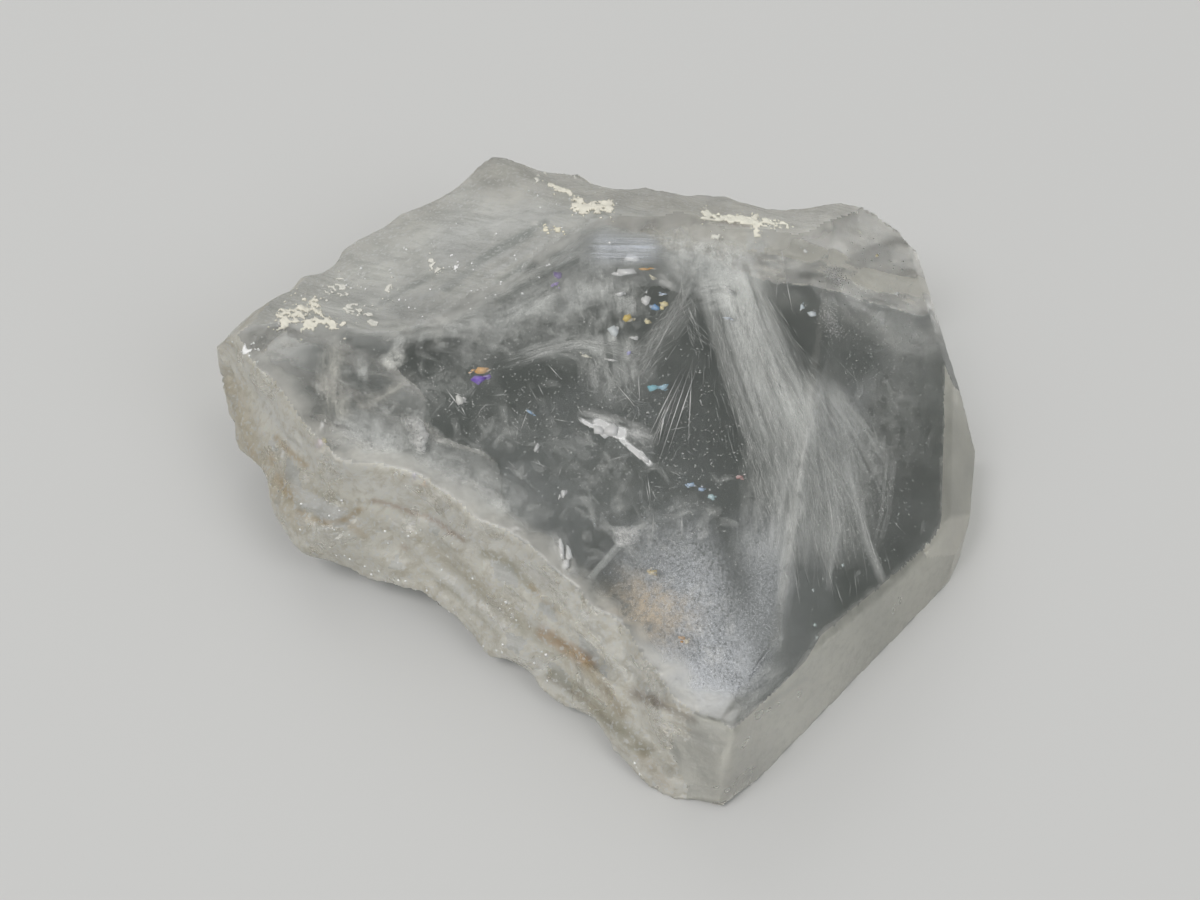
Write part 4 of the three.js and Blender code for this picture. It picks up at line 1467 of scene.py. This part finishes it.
flakeBuild = {
    "sides": 6,
    # size, shift, whiteness
    "shards": ((1.45, 0.0, 0.15), (0.9, 0.6, 0.75), (0.7, 0.8, 0.3), (0.5, 1.0, 0.9)),
    "slab": (0.85, 9, 2),  # from this tone and size in pixels a flake is a slab of so many shards
    "corner": 0.35,  # how far a corner strays, of a side
    "radius": (0.5, 1.2),
    "shine": (-0.25, 0.35),
    "apart": 0.06,  # mm between shards
    "thin": 0.02,  # mm
}


def prismFaces(first, sides):
    faces = []
    for k in range(1, sides - 1):
        faces.append((first, first + k + 1, first + k))
        faces.append((first + sides, first + sides + k, first + sides + k + 1))
    for k in range(sides):
        n = (k + 1) % sides
        faces.append((first + k, first + n, first + sides + n))
        faces.append((first + k, first + sides + n, first + sides + k))
    return faces


def growFlakes(name, flakes, build, material, seed):
    rng = np.random.default_rng(seed)
    corners, triangles, tints = [], [], []
    sides = build["sides"]
    lift = Vector(lookAlong) * (-build["thin"] * mm)
    slabTone, slabSize, slabShards = build["slab"]
    for (px, py), (wide, high), turn, depth, tint in flakes.values():
        c, s = math.cos(math.radians(turn)), math.sin(math.radians(turn))
        slab = min(tint) > slabTone and max(wide, high) >= slabSize
        shards = build["shards"][:slabShards] if slab else build["shards"]
        for number, (share, shift, whiteness) in enumerate(shards):
            middle = rng.uniform(-shift, shift, 2)
            paler = whiteness * rng.random()
            edge = []
            for k in range(sides):
                a = 2 * math.pi * (k + rng.uniform(-build["corner"], build["corner"])) / sides
                r = rng.uniform(*build["radius"]) / 2 * share
                x, y = wide * (r * math.cos(a) + middle[0]), high * (r * math.sin(a) + middle[1])
                deep = depth + build["apart"] * number
                edge.append(insidePoint(px + c * x - s * y, py + s * x + c * y, deep))
            triangles += prismFaces(len(corners), sides)
            corners += [p + lift for p in edge] + [p - lift for p in edge]
            shine = np.clip(paler + rng.uniform(*build["shine"], sides), 0, 1)[:, None]
            tones = np.array(tint) * (1 - shine) + shine
            tints += [*tones, *tones]
    mesh = joinArrays(name, np.array(corners), np.array(triangles), np.array(tints))
    return addInside(name, mesh, material)


growFlakes("brightFlakes", flakes, flakeBuild, makeTinted("flakeSheen", {"Roughness": 0.25})[0], 12)

# clay on the upper face, and white crumbs on the broken ones that are painted glints: path and half widths
# in pixels, cover, height of the crust in mm with none for crumbs alone, colour
clay, dryClay = (0.86, 0.83, 0.72), (0.80, 0.79, 0.72)
crusts = {
    "leftMain": (((272, 322), (296, 314), (322, 306)), (13, 12), 0.55, 0.12, clay),
    "leftLow": (((296, 326), (322, 323), (346, 328)), (8, 8), 0.50, 0.10, clay),
    "leftTail": (((342, 310), (360, 309), (378, 326)), (6, 5), 0.45, 0.08, dryClay),
    "leftFaint": (((316, 294), (352, 286)), (12, 11), 0.24, 0.06, dryClay),
    "slopeSpecks": (((384, 300), (392, 284), (402, 282)), (6, 6), 0.26, 0.06, dryClay),
    "backMain": (((570, 204), (592, 210), (616, 205)), (8, 8), 0.60, 0.12, clay),
    "backLine": (((546, 184), (562, 190), (578, 198)), (4, 4), 0.50, 0.08, clay),
    "backTop": (((533, 180), (547, 171)), (5, 5), 0.42, 0.07, dryClay),
    "ledgeLine": (((700, 215), (730, 219), (757, 222), (790, 226)), (5, 4), 0.55, 0.10, (0.88, 0.86, 0.75)),
    "ledgeDrip": (((755, 212), (757, 238)), (5, 4), 0.50, 0.09, clay),
    "ledgeDrops": (((708, 236), (722, 239)), (5, 4), 0.40, 0.07, dryClay),
    "tipDots": (((238, 352), (262, 344)), (7, 6), 0.30, 0.08, snowWhite),
    "wormMarks": (((426, 258), (434, 266), (442, 277)), (5, 5), 0.34, 0.06, dryClay),
    "wormMarksB": (((448, 277), (458, 263)), (5, 5), 0.36, 0.06, snowWhite),
    "slopeFlakes": (((540, 228), (566, 229)), (5, 4), 0.34, 0.06, (0.86, 0.82, 0.66)),
    "slopeDust": (((300, 290), (420, 250), (520, 200), (640, 200)), (22, 16), 0.22, 0, snowWhite),
    "slopeDustLow": (((400, 310), (480, 290), (560, 250)), (16, 16), 0.22, 0, snowWhite),
    # footSparks and ledgeSparks: painted glints, white crumbs where the broken face catches the light
    "footSparks": (((330, 556), (430, 598), (500, 650), (590, 730), (650, 786)), (5, 5), 0.16, 0,
        snowWhite),
    "ledgeSparks": (((300, 505), (400, 530), (480, 590), (560, 640)), (14, 14), 0.14, 0, snowWhite),
}
crustBuild = {
    "step": 0.8,  # pixels
    "clumps": (0.30, 0.95),  # size in mm, strength
    "ends": 0.8,  # half widths over which the crust thins out
    "least": 0.02,  # body under which there is none
    "knobs": (0.35, 0.6, 0.8),  # size in mm, height, its change
    "knobRange": (0.2, 1.6),
    "edge": (0.25, 0.35),  # height at the edge, field at which it is whole
    "tone": (0.3, 0.92, 0.12),  # size in mm, tone, its change
    "sunk": 0.04,  # mm
}
crumbs = {
    "count": 2.6,  # per pixel of path at full cover
    "least": 4,
    "spread": 1.7,  # half widths
    "patch": (9, -0.6, 0.5),
    "size": (0.025, 0.10),  # mm
    "jag": (0.6, 1.3),
    "rise": (0.15, 0.7, 0.5),  # of the size: middle over the skin, above it, below it
    "glow": (0.85, 1.1),
}


def crustGrid(path, half, cover, build):
    path = np.array(path, float)
    long = pathEnds(path)[-1]
    rows = int(long / build["step"]) + 2
    columns = int(2 * max(half) / build["step"]) + 2
    at, wide, side, pixels = strokeGrid(path, half, rows, columns)
    hits = [skinTree.ray_cast(Vector(eye * mm), pixelRay(px, py)) for px, py in pixels]
    spots = np.array([hit[0] or (0, 0, 0) for hit in hits]) / mm
    ending = np.minimum(at, long - at) / np.maximum(wide, 1)
    body = np.outer(ramp(ending, 0, build["ends"]), 1 - np.abs(side) ** 2).ravel()
    size, strength = build["clumps"]
    field = cover - 0.5 + 0.5 * (body - 0.5) + strength * layeredNoise(spots, size, noiseSeed["clayClumps"])
    field[body < build["least"]] = -1
    return rows, columns, hits, field


def scatterCrumbs(path, half, cover, rng):
    count = int(crumbs["count"] * np.hypot(*np.diff(np.array(path, float), axis=0).T).sum() * cover)
    stroke = {"path": path, "half": [h * crumbs["spread"] for h in half], "count": count + crumbs["least"],
              "spread": 0, "patch": crumbs["patch"]}
    low, high = crumbs["size"]
    middle, above, below = crumbs["rise"]
    solids = []
    for px, py in strokeSamples(stroke, rng)[0]:
        hit, normal, index, reach = skinTree.ray_cast(Vector(eye * mm), pixelRay(px, py))
        if hit is None:
            continue
        size = (low + (high - low) * rng.random() ** 2) * mm
        side = normal.orthogonal().normalized()
        side.rotate(Quaternion(normal, rng.uniform(0, math.tau)))
        across = normal.cross(side)
        r = rng.uniform(*crumbs["jag"], 6) * size
        base = hit + normal * size * middle
        solids.append([base + side * r[0], base + across * r[1], base - side * r[2], base - across * r[3],
                       base + normal * r[4] * above, base - normal * r[5] * below])
    return np.array(solids)


crumbFaces = np.array([(k, (k + 1) % 4, 4) for k in range(4)] + [((k + 1) % 4, k, 5) for k in range(4)])


def growCrust(name, crusts, build, material, seed):
    corners, triangles, tints, total = [], [], [], 0
    rng = np.random.default_rng(seed)
    for path, half, cover, height, tint in crusts.values():
        solids = scatterCrumbs(path, half, cover, rng)
        if len(solids):
            corners.append(solids.reshape(-1, 3))
            firsts = total + 6 * np.arange(len(solids))
            triangles.append((firsts[:, None, None] + crumbFaces[None]).reshape(-1, 3))
            glow = rng.uniform(*crumbs["glow"], len(solids))
            tints.append(np.repeat(np.clip(np.array(tint) * glow[:, None], 0, 1), 6, axis=0))
            total += 6 * len(solids)
        if not height:
            continue
        rows, columns, hits, field = crustGrid(path, half, cover, build)
        places = [hit[0] for hit in hits]
        quads = sheetFaces(rows, columns, places, np.where(field > 0, 1.0, 0.0), all)
        if not quads:
            continue
        used, faces = closeSheet(quads, total)
        ground = np.array([places[k] for k in used])
        out = np.array([hits[k][1] for k in used])
        knobSize, knob, knobChange = build["knobs"]
        knobs = knob + knobChange * layeredNoise(ground / mm, knobSize, noiseSeed["clayKnobs"], 3)
        least, whole = build["edge"]
        rise = height * (least + ramp(field[used], 0, whole) * np.clip(knobs, *build["knobRange"]))
        corners += [ground + out * (rise * mm)[:, None], ground - out * (build["sunk"] * mm)]
        toneSize, tone, toneChange = build["tone"]
        tone = tone + toneChange * layeredNoise(ground / mm, toneSize, noiseSeed["clayTone"], 2)
        tone = np.clip(np.array(tint) * tone[:, None], 0, 1)
        tints += [tone, tone]
        triangles.append(np.array(faces))
        total += 2 * len(used)
    mesh = joinArrays(name, np.concatenate(corners), np.concatenate(triangles), np.concatenate(tints))
    mesh.polygons.foreach_set("use_smooth", np.ones(len(mesh.polygons), dtype=bool))
    return addInside(name, mesh, material)


growCrust("clayCrust", crusts, crustBuild, makeTinted("dryClay", {"Roughness": 0.9})[0], 29)

# floor and light
studio = {
    "floorColor": (0.62, 0.62, 0.61),
    "floorDrop": 0.03,  # mm under the resting face
    "floorHalf": 3.0,  # metres
    "floorFinish": {"Roughness": 0.9, "Specular IOR Level": 0.2},
    "worldColor": (0.93, 0.94, 0.95),
    "worldStrength": 0.34,
    "aim": 4.0,  # mm above the floor
    "reach": 5.0,  # lamps stand so many times further off, as much larger, and stronger by its square
}
lamps = {  # place and size in metres, watts, colour
    "keyLamp": ((-0.20, -0.14, 0.36), 0.22, 1.0, (1.0, 0.985, 0.96)),
    "fillLamp": ((0.26, -0.22, 0.26), 0.26, 0.45, (0.97, 0.985, 1.0)),
    "backLamp": ((-0.10, 0.30, 0.22), 0.22, 0.22, (0.97, 0.985, 1.0)),
}


def makeFloor():
    half, level = studio["floorHalf"], -studio["floorDrop"] * mm
    corners = [(-half, -half, level), (half, -half, level), (half, half, level), (-half, half, level)]
    mesh = bpy.data.meshes.new("floor")
    mesh.from_pydata(corners, [], [(0, 1, 2, 3)])
    floor = bpy.data.objects.new("floor", mesh)
    scene.collection.objects.link(floor)
    material = bpy.data.materials.new("floorPaper")
    material.use_nodes = True
    surface = material.node_tree.nodes["Principled BSDF"]
    surface.inputs["Base Color"].default_value = (*studio["floorColor"], 1)
    for socket, value in studio["floorFinish"].items():
        surface.inputs[socket].default_value = value
    mesh.materials.append(material)


def makeLamp(name, place, size, power, color):
    lamp = bpy.data.objects.new(name, bpy.data.lights.new(name, "AREA"))
    lamp.data.shape = "DISK"
    lamp.data.size = size * studio["reach"]
    lamp.data.energy = power * studio["reach"] ** 2
    lamp.data.color = color
    lamp.location = Vector(place) * studio["reach"]
    aim = Vector((0, 0, studio["aim"] * mm)) - lamp.location
    lamp.rotation_euler = aim.to_track_quat("-Z", "Y").to_euler()
    scene.collection.objects.link(lamp)


makeFloor()
for lampName, lamp in lamps.items():
    makeLamp(lampName, *lamp)
world = bpy.data.worlds.new("studio")
scene.world = world
world.use_nodes = True
sky = world.node_tree.nodes["Background"]
sky.inputs["Color"].default_value = (*studio["worldColor"], 1)
sky.inputs["Strength"].default_value = studio["worldStrength"]
scene.cycles.caustics_refractive = False
scene.cycles.caustics_reflective = False
scene.cycles.max_bounces = 10
scene.cycles.transmission_bounces = 8
scene.cycles.transparent_max_bounces = 22
scene.view_settings.view_transform = "Standard"
print("studio set")
